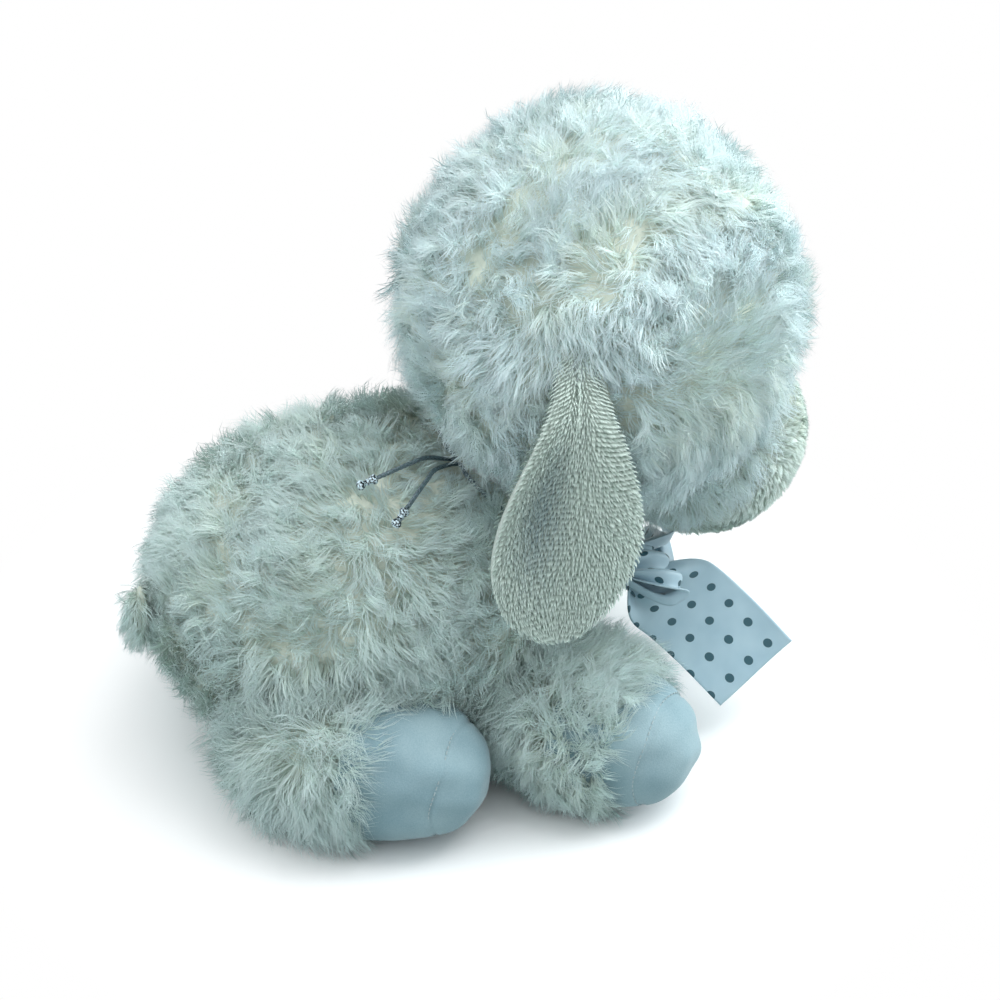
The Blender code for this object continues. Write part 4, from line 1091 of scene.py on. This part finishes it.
def end_route(degrees, lean_degrees):
    """A free end of the elastic, which lies back over the body from the neck."""
    run = turn(UP, lean_degrees) @ -FORWARD
    start, _ = ring_spot(degrees, ELASTIC_DIAMETER / 2 + GAP + SEAM_SLACK)
    route = []
    for share in ELASTIC_END_SHARES:
        place = start + run * ELASTIC_END_LENGTH * share
        base = np.array([place[0], place[1], BODY_MIDDLE[2]])
        rise = ELASTIC_END_RISE + BARB_RISE * share
        route.append(base + UP * (BODY.reach(base, UP[None])[0] + rise))
    return route


def elastic_route():
    """The elastic's whole line, from barb to barb."""
    first = -ELASTIC_END_SIDE_DEGREES + ELASTIC_END_SPREAD_DEGREES
    last = 360 - ELASTIC_END_SIDE_DEGREES - ELASTIC_END_SPREAD_DEGREES
    ring = [ring_spot(degrees, -ELASTIC_SINK)[0] for degrees in np.linspace(first, last, ELASTIC_RING_POINTS)]
    ends = end_route(first, FIRST_END_LEAN_DEGREES)[::-1], end_route(last, SECOND_END_LEAN_DEGREES)
    return smooth_path(ends[0] + ring + ends[1], np.linspace(0, 1, ELASTIC_POINTS))


ELASTIC_ROUTE = elastic_route()
KNOT_SEAT, KNOT_OUT = ring_spot(360 - KNOT_SIDE_DEGREES, ELASTIC_DIAMETER + SEAM_SLACK + SEAM_SLACK)
KNOT_MIDDLE = KNOT_SEAT + KNOT_OUT * KNOT_DEPTH / 2


def ribbon_route(place_shares, count):
    """The middle line of a strip of ribbon."""
    places = [KNOT_MIDDLE + spot(*shares) * RIBBON_WIDTH for shares in place_shares]
    return smooth_path(places, np.linspace(0, 1, count))


def ear_route(name, shares):
    """The ear's middle line from its root to its tip, the way out of its face, and its run."""
    out = SIDES[name] * SIDEWAYS
    root = PIVOTS["ear_" + name + "_lift"] + out * 2 * EAR_STAND_OFF + FORWARD * EAR_SHIFT_FORWARD
    hang = []
    for spread, sweep, length in EAR_HANG_SHARES:
        fall = spot(0, -EAR_SWEEPS[name] * sweep, -EAR_LENGTH * length)
        hang.append(root + out * EAR_SPREAD * spread + fall)
    table = np.linspace(0, 1, EAR_ROUTE_POINTS)
    dense = smooth_path(hang, table)
    runs = unit(np.gradient(dense, axis=0))
    ways = unit(np.cross(runs, FORWARD))
    ways *= np.sign(ways[:, :1]) * SIDES[name]
    route, ways, runs = (np.column_stack([np.interp(shares, table, column) for column in values.T])
                         for values in (dense, ways, runs))
    return route, unit(ways), unit(runs)


def ear_half_width(shares):
    """Half the ear's width at shares of its length: a teardrop with a round tip."""
    rising = np.sin(math.pi / 2 * np.minimum(shares / EAR_WIDEST_SHARE, 1)) ** EAR_ROOT_POWER
    past = np.clip((shares - EAR_WIDEST_SHARE) / (1 - EAR_WIDEST_SHARE), 0, 1)
    return (EAR_ROOT_WIDTH + (EAR_WIDTH - EAR_ROOT_WIDTH) * rising) / 2 * np.sqrt(1 - past ** 2)


def ear_dent(lengthwise, across):
    """The share of the dent's depth at shares of the ear's length and half width."""
    aside = (across - EAR_DENT_SHARES[0]) / EAR_DENT_RADIUS_SHARES[0]
    along = (lengthwise - EAR_DENT_SHARES[1]) / EAR_DENT_RADIUS_SHARES[1]
    return np.exp(-aside ** 2 - along ** 2)


def ear_places(name, lengthwise, across, layer):
    """Points of the ear's outer face, lining or middle, for layer 1, -1 or 0."""
    route, ways, _ = ear_route(name, lengthwise)
    half = ear_half_width(lengthwise)
    roundness = np.sqrt(np.maximum(1 - across ** 4, 0)) * np.minimum(half / EAR_THICKNESS, 1)
    swell = EAR_EDGE_THICKNESS + (EAR_THICKNESS - EAR_EDGE_THICKNESS) * roundness
    crease = np.exp(-(across / EAR_CREASE_SHARE) ** 2)
    crease *= np.sin(math.pi * np.clip(lengthwise * EAR_CREASE_RUN, 0, 1)) * EAR_CREASE_DEPTH
    cup = EAR_CUP * across ** 2 * half / (EAR_WIDTH / 2) + EAR_DENT_DEPTH * ear_dent(lengthwise, across)
    depth = layer * swell / 2 - cup - crease
    return route + FORWARD * (across * np.maximum(half, GAP))[:, None] + ways * depth[:, None]


def ear_normals(name, lengthwise, across, layer):
    """The way out of the ear's face at the same places, and the ear's run there."""
    step = EAR_SLOPE_STEP_SHARE
    run = (ear_places(name, np.minimum(lengthwise + step, 1), across, layer)
           - ear_places(name, np.maximum(lengthwise - step, 0), across, layer))
    width = (ear_places(name, lengthwise, np.minimum(across + step, 1), layer)
             - ear_places(name, lengthwise, np.maximum(across - step, -1), layer))
    normals = unit(np.cross(run, width))
    facing_out = np.sign((normals * SIDEWAYS * SIDES[name] * layer).sum(axis=1, keepdims=True))
    return normals * facing_out, unit(run)


def make_body():
    """The body: its cloth, its stuffing and its coat in three panels."""
    cloth = grid_mesh(on_floor(fleece_cloth(BODY)))
    add_piece("body_cloth", cloth, BACKING, "body", "body_skin")
    add_stuffing("body_stuffing", BODY.grown(-STUFFING_DEPTH), "body", "body_filling", seed=3)

    roots, normals = rooted(BODY.grown(-ROOT_DEPTH), ROOT_GRID, BODY_STRANDS, seed=11)
    tips = roots + normals * ROOT_DEPTH
    under_head = np.minimum(HEAD.clearance(tips), FACE.clearance(tips))
    beside_leg = np.min([leg.clearance(roots) for leg in LEGS.values()], axis=0)
    kept = (under_head > -BODY_UNDER_HEAD) & (beside_leg > -BODY_UNDER_LEG) & (roots[:, 2] > LOWEST_ROOT)
    shares = left_share(under_head, *BODY_BY_HEAD) * left_share(beside_leg, *BODY_BY_LEG)
    roots, normals, shares = roots[kept], normals[kept], shares[kept]

    roots = drawn_in(BODY, roots, normals, ROOT_DEPTH)
    tips = roots + normals * ROOT_DEPTH
    ribbons = [ribbon_route(places, RIBBON_PRESS_POINTS) for _, _, places in STRIPS.values()]
    shares *= left_by_lines(tips, ribbons, *BODY_BY_RIBBON)
    ends = [ELASTIC_ROUTE[:ELASTIC_PRESS_POINTS:ELASTIC_PRESS_STEP],
            ELASTIC_ROUTE[-ELASTIC_PRESS_POINTS::ELASTIC_PRESS_STEP]]
    shares *= left_by_lines(tips, ends, *BODY_BY_ELASTIC)
    ways = np.tile(spot(*BODY_LAY), (len(roots), 1))
    for name in SIDES:
        leg = LEGS["hind_" + name]
        over_hip = 1 - eased(leg.clearance(roots), 0, HIP_COVER_REACH)
        over_hip *= 1 - eased(leg.own(roots)[:, 1] / leg.half[1], *HIP_COVER_SHARES)
        shares *= 1 + HIP_FULLNESS_SHARE * over_hip
        ways -= UP * (HIP_FALL * over_hip)[:, None]
    strands = grow(roots, normals, LONG_COAT, shares, seed=21, way=ways)
    add_panels("body", BODY_PANEL_SIDE, roots, strands, BODY_PILE_PAINTED_SHADE)


def make_head():
    """The head: its cloth, its stuffing and its coat, pressed flat where it rests on the body."""
    cloth = pressed(fleece_cloth(HEAD), HEAD_MIDDLE, HEAD_REST)
    add_piece("head_cloth", grid_mesh(on_floor(cloth)), BACKING, "head", "head_skin")
    add_stuffing("head_stuffing", HEAD.grown(-HEAD_STUFFING_DEPTH), "head", "head_filling", seed=5)
    add_stuffing("neck_stuffing", NECK_WAD, "neck", "neck_filling", seed=7)

    roots, normals = rooted(HEAD.grown(-ROOT_DEPTH), ROOT_GRID, HEAD_STRANDS, seed=12)
    kept = (FACE.clearance(roots) > HEAD_BESIDE_FACE) & (BODY.clearance(roots) > -HEAD_UNDER_BODY)
    roots, normals = roots[kept], normals[kept]
    over_face = FACE.clearance(roots)
    shares = left_share(BODY.clearance(roots), *HEAD_BY_BODY)
    roots = pressed(drawn_in(HEAD, roots, normals, ROOT_DEPTH), HEAD_MIDDLE, HEAD_REST)
    face_pull = FACE_PULL * (1 - eased(over_face, *FACE_PULL_FADE))
    ways = spot(*HEAD_LAY) + unit(FACE.centre - roots) * face_pull[:, None]
    for name in SIDES:
        for first, last, reach in EAR_PRESSES:
            under, _, _ = ear_route(name, np.linspace(first, last, EAR_PRESS_POINTS))
            shares *= left_by_lines(roots + normals * ROOT_DEPTH, [under], reach, reach * EAR_PRESS_FADE,
                                    EAR_PRESS_SHARE)
        crown = ear_route(name, np.array([EAR_CROWN_SHARE]))[0] + UP * EAR_CROWN_RISE
        from_crown = np.linalg.norm(roots - crown, axis=1)
        ways -= UP * (EAR_CROWN_FALL * (1 - eased(from_crown, *EAR_CROWN_FADE)))[:, None]
    strands = grow(roots, normals, LONG_COAT, shares, seed=22, way=ways)
    add_panels("head", HEAD_PANEL_SIDE, roots, strands, LONG_PILE)


def face_spot(side_degrees, rise_degrees, stand_off=0.0):
    """A place on the face and the way out of it."""
    out = HEAD_AXES @ turn(UP, side_degrees) @ turn(SIDEWAYS, -rise_degrees) @ FORWARD
    return FACE.centre + out * (FACE.reach(FACE.centre, out[None])[0] + stand_off), out


def make_face():
    """The face in short pile, bare round the eyes and the nose, and the fringe of long pile round it."""
    form = FACE.grown(-FACE_CLOTH_DEPTH)
    cloth = pressed(form.grid(*FACE_GRID), FACE.centre, HEAD_REST)
    add_piece("face_cloth", grid_mesh(on_floor(cloth)), SHORT_BACKING, "head", "face_panel")
    add_stuffing("face_stuffing", FACE.grown(-FACE_STUFFING_DEPTH), "head", "face_filling", seed=9)

    rng = np.random.default_rng(13)
    roots, normals = rooted(form, FACE_ROOT_GRID, FACE_STRANDS, rng)
    kept = (HEAD.clearance(roots) > -FACE_UNDER_HEAD) & (BODY.clearance(roots) > -FACE_UNDER_BODY)
    bare = [(face_spot(side * EYE_SIDE_DEGREES, EYE_RISE_DEGREES)[0], EYE_RADIUS) for side in SIDES.values()]
    bare.append((face_spot(0, -NOSE_DROP_DEGREES)[0], NOSE_WIDTH / 2 - NOSE_COVER))
    for seat, radius in bare:
        kept &= np.linalg.norm(roots - seat, axis=1) > radius + BARE_RIM_WIDTH
    roots, normals = pressed(roots[kept], FACE.centre, HEAD_REST), normals[kept]
    strands = grow(roots, normals, SHORT_COAT, np.ones(len(roots)), seed=23, way=FACE_WAY * FACE_LAY_SHARE)
    add_coat("face_pile", strands, SHORT_PILE, "head", SHORT_COAT)

    roots, normals = rooted(form, FACE_ROOT_GRID, FRINGE_STRANDS, rng)
    over_head = HEAD.clearance(roots)
    chin = unit(roots - FACE.centre) @ np.cross(SIDEWAYS, FACE_WAY)
    width = FRINGE_WIDTH * eased(chin, *FRINGE_CHIN_SHARES)
    kept = (over_head > -FACE_UNDER_HEAD) & (over_head < width) & (BODY.clearance(roots) > 0)
    shares = FRINGE_LENGTH_SHARE * (1 - FRINGE_THIN_SHARE * eased(over_head[kept], 0, FRINGE_WIDTH))
    strands = grow(roots[kept], normals[kept], LONG_COAT, shares, seed=24, way=FACE_WAY * FRINGE_LAY_SHARE)
    add_coat("fringe_pile", strands, LONG_PILE, "head")


def make_eyes():
    """Glossy domes on ribbed posts; the washers behind them stay as they are."""
    profile = [(0, -POST_LENGTH), (POST_RADIUS, -POST_LENGTH)]
    for rib in range(1, POST_RIBS):
        along = -POST_LENGTH * (1 - rib / POST_RIBS)
        profile += [(POST_RADIUS, along - POST_RIB_WIDTH), (POST_RADIUS - POST_RIB_HEIGHT, along)]
    profile += [(POST_RADIUS, 0), (EYE_RADIUS - GAP, 0)]
    angles = np.linspace(0, math.pi / 2, DOME_RINGS)
    profile += [(EYE_RADIUS * math.cos(angle), EYE_BULGE * math.sin(angle)) for angle in angles]
    for name, side in SIDES.items():
        seat, out = face_spot(side * EYE_SIDE_DEGREES, EYE_RISE_DEGREES)
        grid = lathe_grid(profile, seat - out * EYE_SINK, facing(out, up=SIDEWAYS))
        add_piece("eye_dome_" + name, grid_mesh(grid), EYE, "head", "eye_" + name)
        washer = frame["nodes"]["eye_washer_" + name]
        washer.data.materials.clear()
        washer.data.materials.append(WASHER)


def make_nose_and_mouth():
    """The nose in satin stitch over a pad, and the mouth in two-ply thread."""
    seat, out = face_spot(0, -NOSE_DROP_DEGREES)
    axes = np.column_stack([SIDEWAYS, -out, np.cross(SIDEWAYS, -out)])
    half = np.array([NOSE_WIDTH, NOSE_DEPTH, NOSE_HEIGHT]) / 2
    pad = Form(seat, half, fullness=2, axes=axes).grown(-NOSE_THREAD_RADIUS)
    add_piece("nose_pad", grid_mesh(pad.grid(*SMALL_GRID)), BROWN_THREAD, "head", "nose")
    stitches = []
    angles = np.linspace(-math.pi / 2, math.pi / 2, NOSE_STITCH_POINTS)
    for share in np.linspace(-NOSE_EDGE_SHARE, NOSE_EDGE_SHARE, NOSE_STITCHES):
        rim = math.sqrt(1 - share ** 2)
        way = np.column_stack([np.full(len(angles), share), -np.cos(angles) * rim, np.sin(angles) * rim])
        stitches.append((way * half) @ axes.T + seat)
    add_piece("nose_stitches", tube_mesh(stitches, NOSE_THREAD_RADIUS), BROWN_THREAD, "head")

    route = []
    for share in np.linspace(-1, 1, MOUTH_POINTS):
        drop = MOUTH_DROP_DEGREES - MOUTH_SAG_DEGREES * (1 - math.cos(2 * math.pi * share))
        place, _ = face_spot(share * MOUTH_SIDE_DEGREES, -drop, MOUTH_THREAD_RADIUS + 2 * GAP)
        route.append(place)
    offset = MOUTH_THREAD_RADIUS * MOUTH_PLY_OFFSET_SHARE
    plies = twisted(np.array(route), MOUTH_PLIES, offset, MOUTH_LAY_LENGTH)
    add_piece("mouth_stitch", tube_mesh(plies, MOUTH_THREAD_RADIUS * MOUTH_PLY_RADIUS_SHARE), BROWN_THREAD,
              "head", "mouth_thread")


def twisted(route, count, radius, lay_length, handed=1):
    """Lines that wind round a route side by side."""
    steps = np.linalg.norm(np.diff(route, axis=0), axis=1)
    travelled = np.concatenate([[0], np.cumsum(steps)])
    runs = unit(np.gradient(route, axis=0))
    across = unit(np.cross(runs, UP))
    rise = np.cross(across, runs)
    lines = []
    for strand in range(count):
        angle = 2 * math.pi * (handed * travelled / lay_length + strand / count)
        lines.append(route + radius * (across * np.cos(angle)[:, None] + rise * np.sin(angle)[:, None]))
    return lines


def ear_cloth(name, layer):
    """One cloth face of an ear, closed behind near the ear's middle."""
    lengthwise = 1 - (1 - np.linspace(0, 1, EAR_ROWS)) ** EAR_ROOT_POWER
    across = np.sin(np.linspace(-math.pi / 2, math.pi / 2, EAR_COLUMNS))
    fronts, backs = (np.array([ear_places(name, np.full(EAR_COLUMNS, place), across, depth)
                               for place in lengthwise]) for depth in (layer, layer * EAR_BACK_SHARE))
    return np.concatenate([fronts, backs[:, ::-1], fronts[:, :1]], axis=1)


def ear_tufts(name, layer):
    """The rows of short tufts on one face of an ear."""
    rng = np.random.default_rng(31 + SIDES[name] + layer)
    lengths, edges = [], []
    for at in np.arange(int(EAR_LENGTH / EAR_ROW_PITCH)) * EAR_ROW_PITCH / EAR_LENGTH:
        width = 2 * ear_half_width(np.array([at]))[0] * EAR_TUFT_EDGE_SHARE
        columns = max(int(width / EAR_TUFT_PITCH), 2)
        edge = np.linspace(-EAR_TUFT_EDGE_SHARE, EAR_TUFT_EDGE_SHARE, columns)
        edge = edge + rng.normal(size=columns) * EAR_TUFT_SCATTER_SHARES[0]
        chevron = EAR_CHEVRON_SHARE * np.abs(edge) * (1 - EAR_CHEVRON_FADE_SHARE * at)
        places = at + chevron + rng.normal(size=columns) * EAR_TUFT_SCATTER_SHARES[1]
        lengths.append(np.clip(places, 0, EAR_TUFT_EDGE_SHARE))
        edges.append(np.clip(edge, -EAR_TUFT_SIDE_SHARE, EAR_TUFT_SIDE_SHARE))
    lengths, edges = np.concatenate(lengths), np.concatenate(edges)

    roots = ear_places(name, lengths, edges, layer)
    count = len(roots)
    normals, runs = ear_normals(name, lengths, edges, layer)
    fan = FORWARD * (edges * (1 - lengths) * EAR_FAN_SHARE)[:, None]
    ways = along_cloth(runs + fan + rng.normal(size=roots.shape) * EAR_LAY_SCATTER, normals)
    tufts = EAR_ROW_PITCH * EAR_TUFT_LENGTH_SHARE * rng.uniform(*EAR_TUFT_LENGTH_SPREAD, count)
    lines = lines_of(roots, normals, ways, tufts, np.full(count, math.radians(EAR_TUFT_ROOT_DEGREES)),
                     np.radians(rng.uniform(*EAR_TUFT_TIP_DEGREES, count)), EAR_TUFT_KNOTS)
    tilted = normals[:, None] + rng.normal(size=(count, 1, 3)) * EAR_TUFT_TILT
    sides = unit(np.cross(unit(np.diff(lines, axis=1)), tilted))
    # Painted shade: on the outer face, the tufts in the dent are tinted darker.
    shade = ear_dent(lengths, edges) if layer > 0 else 0
    tints = EAR_TINT - EAR_DENT_PAINTED_SHADE * shade + STRAND_TINT * rng.normal(size=count)
    return strand_mesh(lines, sides, np.clip(tints, *TINT_LIMITS), EAR_TUFT_PITCH * EAR_TUFT_WIDTH_SHARE)


def make_ear(name):
    """An ear: its two cloth faces, each with its rows of tufts."""
    for layer, face, node in ((1, "ear_", "ear_"), (-1, "ear_back_", "ear_lining_")):
        add_piece(face + "cloth_" + name, grid_mesh(ear_cloth(name, layer)), SHORT_BACKING, "ear_" + name,
                  node + name)
        add_piece(face + "pile_" + name, ear_tufts(name, layer), EAR_PILE, "ear_" + name,
                  smooth=False)


def make_leg(name, form):
    """A leg: its sleeve with long pile, its smooth foot with a stitched seam, and its stuffing."""
    body = "leg_" + name
    in_front = name.startswith("front_")
    half_length = form.half[1]
    cuff = math.asin(1 - FOOT_LENGTH / half_length)
    sleeve = open_mesh(form.grown(-BACKING_DEPTH).grid(*SLEEVE_GRID, last=cuff))
    add_piece("sleeve_" + name, sleeve, BACKING, body, "leg_" + name)
    add_stuffing("leg_stuffing_" + name, form.grown(-STUFFING_DEPTH), body, "leg_filling_" + name, seed=17)

    foot = form.grid(*FOOT_GRID, first=cuff - VELOUR_UNDER_CUFF)
    ripple = swirl(foot, VELOUR_RIPPLE_SIZE, seed=19)[..., :1] * VELOUR_RIPPLE_DEPTH
    from_seam = np.linspace(cuff - VELOUR_UNDER_CUFF, math.pi / 2, len(foot)) - SEAM_LATITUDE
    groove = np.exp(-(from_seam * half_length / SEAM_GROOVE_WIDTH) ** 2)[:, None, None] * SEAM_GROOVE_DEPTH
    foot = foot + form.normals(foot) * (ripple - groove - VELOUR_DEPTH)
    add_piece("foot_velour_" + name, grid_mesh(on_floor(foot, height=0)), VELOUR, body,
              "foot_" + name)
    make_seam("foot_seam_" + name, form, body)

    cover, fullness = (FRONT_CUFF_COVER, FRONT_STRANDS_SHARE) if in_front else (0, 1)
    last_root = math.asin(1 - (FOOT_LENGTH - cover) / half_length)
    roots, normals = rooted(form.grown(-ROOT_DEPTH), LEG_ROOT_GRID, int(LEG_STRANDS * fullness), seed=14,
                            last=last_root)
    kept = (BODY.clearance(roots) > -LEG_UNDER_BODY) & (roots[:, 2] > LOWEST_ROOT)
    if in_front:
        kept &= LEGS[name.replace("front", "hind")].clearance(roots) > -LEG_UNDER_LEG
        kept &= HEAD.clearance(roots) > -LEG_UNDER_HEAD
    roots, normals = roots[kept], normals[kept]
    shares = left_share(BODY.clearance(roots), *LEG_BY_BODY)
    along = form.own(roots)[:, 1]
    if in_front:
        shares *= 1 + WRIST_FULLNESS_SHARE * eased(roots[:, 2], form.centre[2], form.centre[2] + form.half[2])
        over_foot = eased(along - half_length + FOOT_LENGTH, *CUFF_RISE)
        roots = roots + normals * ((ROOT_DEPTH - SHORT_PILE_THICKNESS) * over_foot)[:, None]
        shares *= 1 - (1 - CUFF_LENGTH_SHARE) * over_foot
    else:
        shares *= 1 + HIP_FULLNESS_SHARE * (1 - eased(along / half_length + 1, *HIP_FADE_SHARES))
    tips = roots + normals * ROOT_DEPTH
    shares *= left_share(np.minimum(FACE.clearance(tips), HEAD.clearance(tips)), *LEG_BY_HEAD)
    strands = grow(roots, normals, LONG_COAT, shares, seed=25, way=form.axes[:, 1] * LEG_LAY_SHARE)
    add_coat("leg_pile_" + name, strands, BODY_PILE_PAINTED_SHADE, body)


def make_seam(name, form, body):
    """The row of small stitches that sews the toe's cap on."""
    cloth = form.grown(-SEAM_GROOVE_DEPTH / 2 - VELOUR_DEPTH)
    pitch = 2 * math.pi / SEAM_STITCHES
    stitches = []
    for stitch in range(SEAM_STITCHES):
        around = stitch * pitch + np.linspace(0, SEAM_STITCH_SHARE * pitch, SEAM_STITCH_POINTS)
        rise = np.full(SEAM_STITCH_POINTS, math.tan(SEAM_LATITUDE))
        places = cloth.surface(np.column_stack([np.cos(around), rise, np.sin(around)]))
        if places[:, 2].min() > SEAM_THREAD_RADIUS + GAP:
            stitches.append(places)
    add_piece(name, tube_mesh(stitches, SEAM_THREAD_RADIUS), SEAM_THREAD, body)


def open_mesh(grid):
    """A sleeve whose end inside the body stays open."""
    data = grid_mesh(on_floor(grid))
    cloth = BODY.grown(-BACKING_DEPTH)
    mesh = bmesh.new()
    mesh.from_mesh(data)
    hidden = [vertex for vertex in mesh.verts
              if cloth.clearance(np.array(vertex.co)[None])[0] < -SLEEVE_CUT_DEPTH]
    bmesh.ops.delete(mesh, geom=hidden, context="VERTS")
    mesh.to_mesh(data)
    mesh.free()
    return data


def make_tail():
    """The short tail."""
    down = turn(SIDEWAYS, TAIL_LEAN_DEGREES) @ -UP
    middle = PIVOTS["tail_lift"] + down * TAIL_LENGTH / 2 - FORWARD * TAIL_THICKNESS / 2
    half = np.array([TAIL_WIDTH, TAIL_LENGTH, TAIL_THICKNESS]) / 2
    form = Form(middle, half, fullness=2, axes=facing(down, up=-FORWARD), taper=TAIL_TAPER_SHARE)
    cloth = grid_mesh(on_floor(form.grown(-TAIL_CLOTH_DEPTH).grid(*SMALL_GRID)))
    add_piece("tail_cloth", cloth, BACKING, "tail", "tail")
    form = form.grown(-TAIL_ROOT_DEPTH)
    roots, normals = rooted(form, TAIL_ROOT_GRID, TAIL_STRANDS, seed=15)
    shares = np.full(len(roots), TAIL_LENGTH_SHARE)
    strands = grow(roots, normals, LONG_COAT, shares, seed=26, way=down * TAIL_LAY_SHARE)
    add_coat("tail_pile", strands, BODY_PILE_PAINTED_SHADE, "tail")


def make_elastic():
    """The neck elastic's braided cover, and the barbs crimped on its ends."""
    radius = ELASTIC_DIAMETER / 2 - ELASTIC_STRAND_RADIUS
    core = tube_mesh([ELASTIC_ROUTE[::ELASTIC_CORE_STEP]], radius, roundness=4)
    add_piece("elastic_core", core, SILVER, "body", "neck_elastic")
    braid = []
    for handed in (1, -1):
        braid += twisted(ELASTIC_ROUTE, ELASTIC_STRANDS, radius, ELASTIC_LAY_LENGTH, handed)
    braid = tube_mesh(braid, ELASTIC_STRAND_RADIUS, roundness=0)
    add_piece("elastic_braid", braid, SILVER, "body")
    steps = [(BARB_RADIUS * wide, GAP + BARB_LENGTH * along) for wide, along in BARB_PROFILE_SHARES]
    profile = [(0, GAP), *steps, (0, GAP + BARB_LENGTH)]
    for name, route in (("left", ELASTIC_ROUTE), ("right", ELASTIC_ROUTE[::-1])):
        out = unit(route[0] - route[BARB_LEAD_POINTS])
        crimp = grid_mesh(lathe_grid(profile, route[0], facing(out, up=SIDEWAYS), BARB_MERIDIANS))
        add_piece("barb_crimp_" + name, crimp, METAL, "body", "barb_" + name)


def make_strip(name, phase, across_shares, place_shares):
    """A strip of ribbon, gathered in lengthwise pleats at the knot and wavy where it is free."""
    looped = name.startswith("loop")
    shares = np.linspace(0, 1, RIBBON_ROWS)
    route = ribbon_route(place_shares, RIBBON_ROWS)
    across = unit(spot(*across_shares))
    full = LOOP_WIDTH if looped else RIBBON_WIDTH
    from_knot = np.minimum(shares, 1 - shares) if looped else shares
    spread = np.sin(math.pi / 2 * np.minimum(from_knot / GATHER_RUN_SHARE, 1))
    widths = GATHERED_WIDTH + (full - GATHERED_WIDTH) * spread
    face = unit(np.cross(np.gradient(route, axis=0), across))
    edge = np.linspace(-1, 1, RIBBON_COLUMNS)
    spare = np.sqrt(np.maximum(RIBBON_WIDTH / widths - 1, 0))
    depth = widths / PLEATS / math.pi * spare * PLEAT_DEPTH_SHARE
    pleats = np.cos(edge[None] * math.pi * PLEATS + phase) * depth[:, None]
    if not looped:
        free = END_RIPPLE * eased(shares, END_RIPPLE_FROM_SHARE, 1)[:, None]
        along, aside = END_CURL_PHASES
        pleats += free * np.sin(shares * END_EDGE_PHASE + phase)[:, None] * edge[None] ** 2
        pleats += free * END_CURL_SHARE * np.sin(edge[None] * aside + shares[:, None] * along)
    points = (route[:, None] + across * (widths / 2)[:, None, None] * edge[None, :, None]
              + face[:, None] * pleats[..., None])
    length = np.linalg.norm(np.diff(route, axis=0), axis=1).sum()
    data = grid_mesh(points, uv_scale=(RIBBON_WIDTH / (RIBBON_COLUMNS - 1), length / (RIBBON_ROWS - 1)))
    piece = add_piece("satin_" + name, data, SATIN, "body", "ribbon_" + name)
    thickness = piece.modifiers.new("thickness", "SOLIDIFY")
    thickness.thickness = RIBBON_THICKNESS
    thickness.offset = 0


def make_bow():
    """The bow: its knot, its two loops and its two cut ends."""
    half = np.array([KNOT_WIDTH, KNOT_DEPTH, KNOT_HEIGHT]) / 2
    form = Form(KNOT_MIDDLE, half, KNOT_FULLNESS, facing(KNOT_OUT))
    grid = form.grid(*FACE_GRID)
    folds = np.cos(form.own(grid)[..., :1] / KNOT_WIDTH * 2 * math.pi * KNOT_FOLDS) * KNOT_FOLD_DEPTH
    add_piece("bow_knot", grid_mesh(grid + form.normals(grid) * folds), SATIN, "body", "ribbon_knot")
    for name, strip in STRIPS.items():
        make_strip(name, *strip)


def make_floor():
    """A pale floor that keeps the sheep's shadow and fades to white away from it."""
    corners = [(x * FLOOR_SIZE / 2, y * FLOOR_SIZE / 2, 0) for x, y in ((-1, -1), (1, -1), (1, 1), (-1, 1))]
    data = bpy.data.meshes.new("floor")
    data.from_pydata(corners, [], [(0, 1, 2, 3)])
    finish = Finish("floor", roughness=0.9, Specular_IOR_Level=0.1)
    distance = finish.node("VectorMath", {"operation": "LENGTH"}, Vector=finish.place())
    away = finish.node("MapRange", {"interpolation_type": "SMOOTHSTEP"}, From_Min=FLOOR_NEAR,
                       From_Max=FLOOR_FAR, Value=distance.outputs["Value"])
    seen = finish.seen()
    finish.colour(finish.mix(seen, FLOOR_BOUNCE_COLOUR, FLOOR_COLOUR))
    white = finish.node("Emission", Color=BACKDROP_COLOUR)
    share = finish.math("MULTIPLY", seen, away.outputs["Result"])
    finish.show("Material Output", share, finish.shader, white)
    data.materials.append(finish.material)
    add_object("floor", data)


def make_world():
    """Soft light from a dome that is brightest overhead; the camera and gloss see it as white."""
    bpy.context.scene.world = bpy.data.worlds.new("world")
    tree = Nodes(bpy.context.scene.world)
    way = tree.node("TexCoord").outputs["Generated"]
    height = tree.math("MAXIMUM", tree.node("SeparateXYZ", Vector=way).outputs["Z"], 0)
    strength = tree.math("MULTIPLY_ADD", tree.math("MULTIPLY", height, height),
                         ZENITH_STRENGTH - HORIZON_STRENGTH, HORIZON_STRENGTH)
    lit = tree.node("Background", Color=WORLD_COLOUR, Strength=strength)
    plain = tree.node("Background", Color=BACKDROP_COLOUR)
    tree.show("World Output", tree.seen(), lit, plain)


def make_light(name, place, size, power, colour):
    """A large soft lamp that faces the sheep."""
    data = bpy.data.lights.new(name, "AREA")
    data.shape = "DISK"
    data.size = size
    data.energy = power
    data.color = colour
    add_aimed(name, data, place)


make_body()
make_head()
make_face()
make_eyes()
make_nose_and_mouth()
for ear_side in SIDES:
    make_ear(ear_side)
for leg_name, leg_shape in LEGS.items():
    make_leg(leg_name, leg_shape)
make_tail()
make_elastic()
make_bow()
make_floor()
make_world()
for lamp in LAMPS:
    make_light(*lamp)
bpy.context.scene.view_settings.view_transform = "Standard"
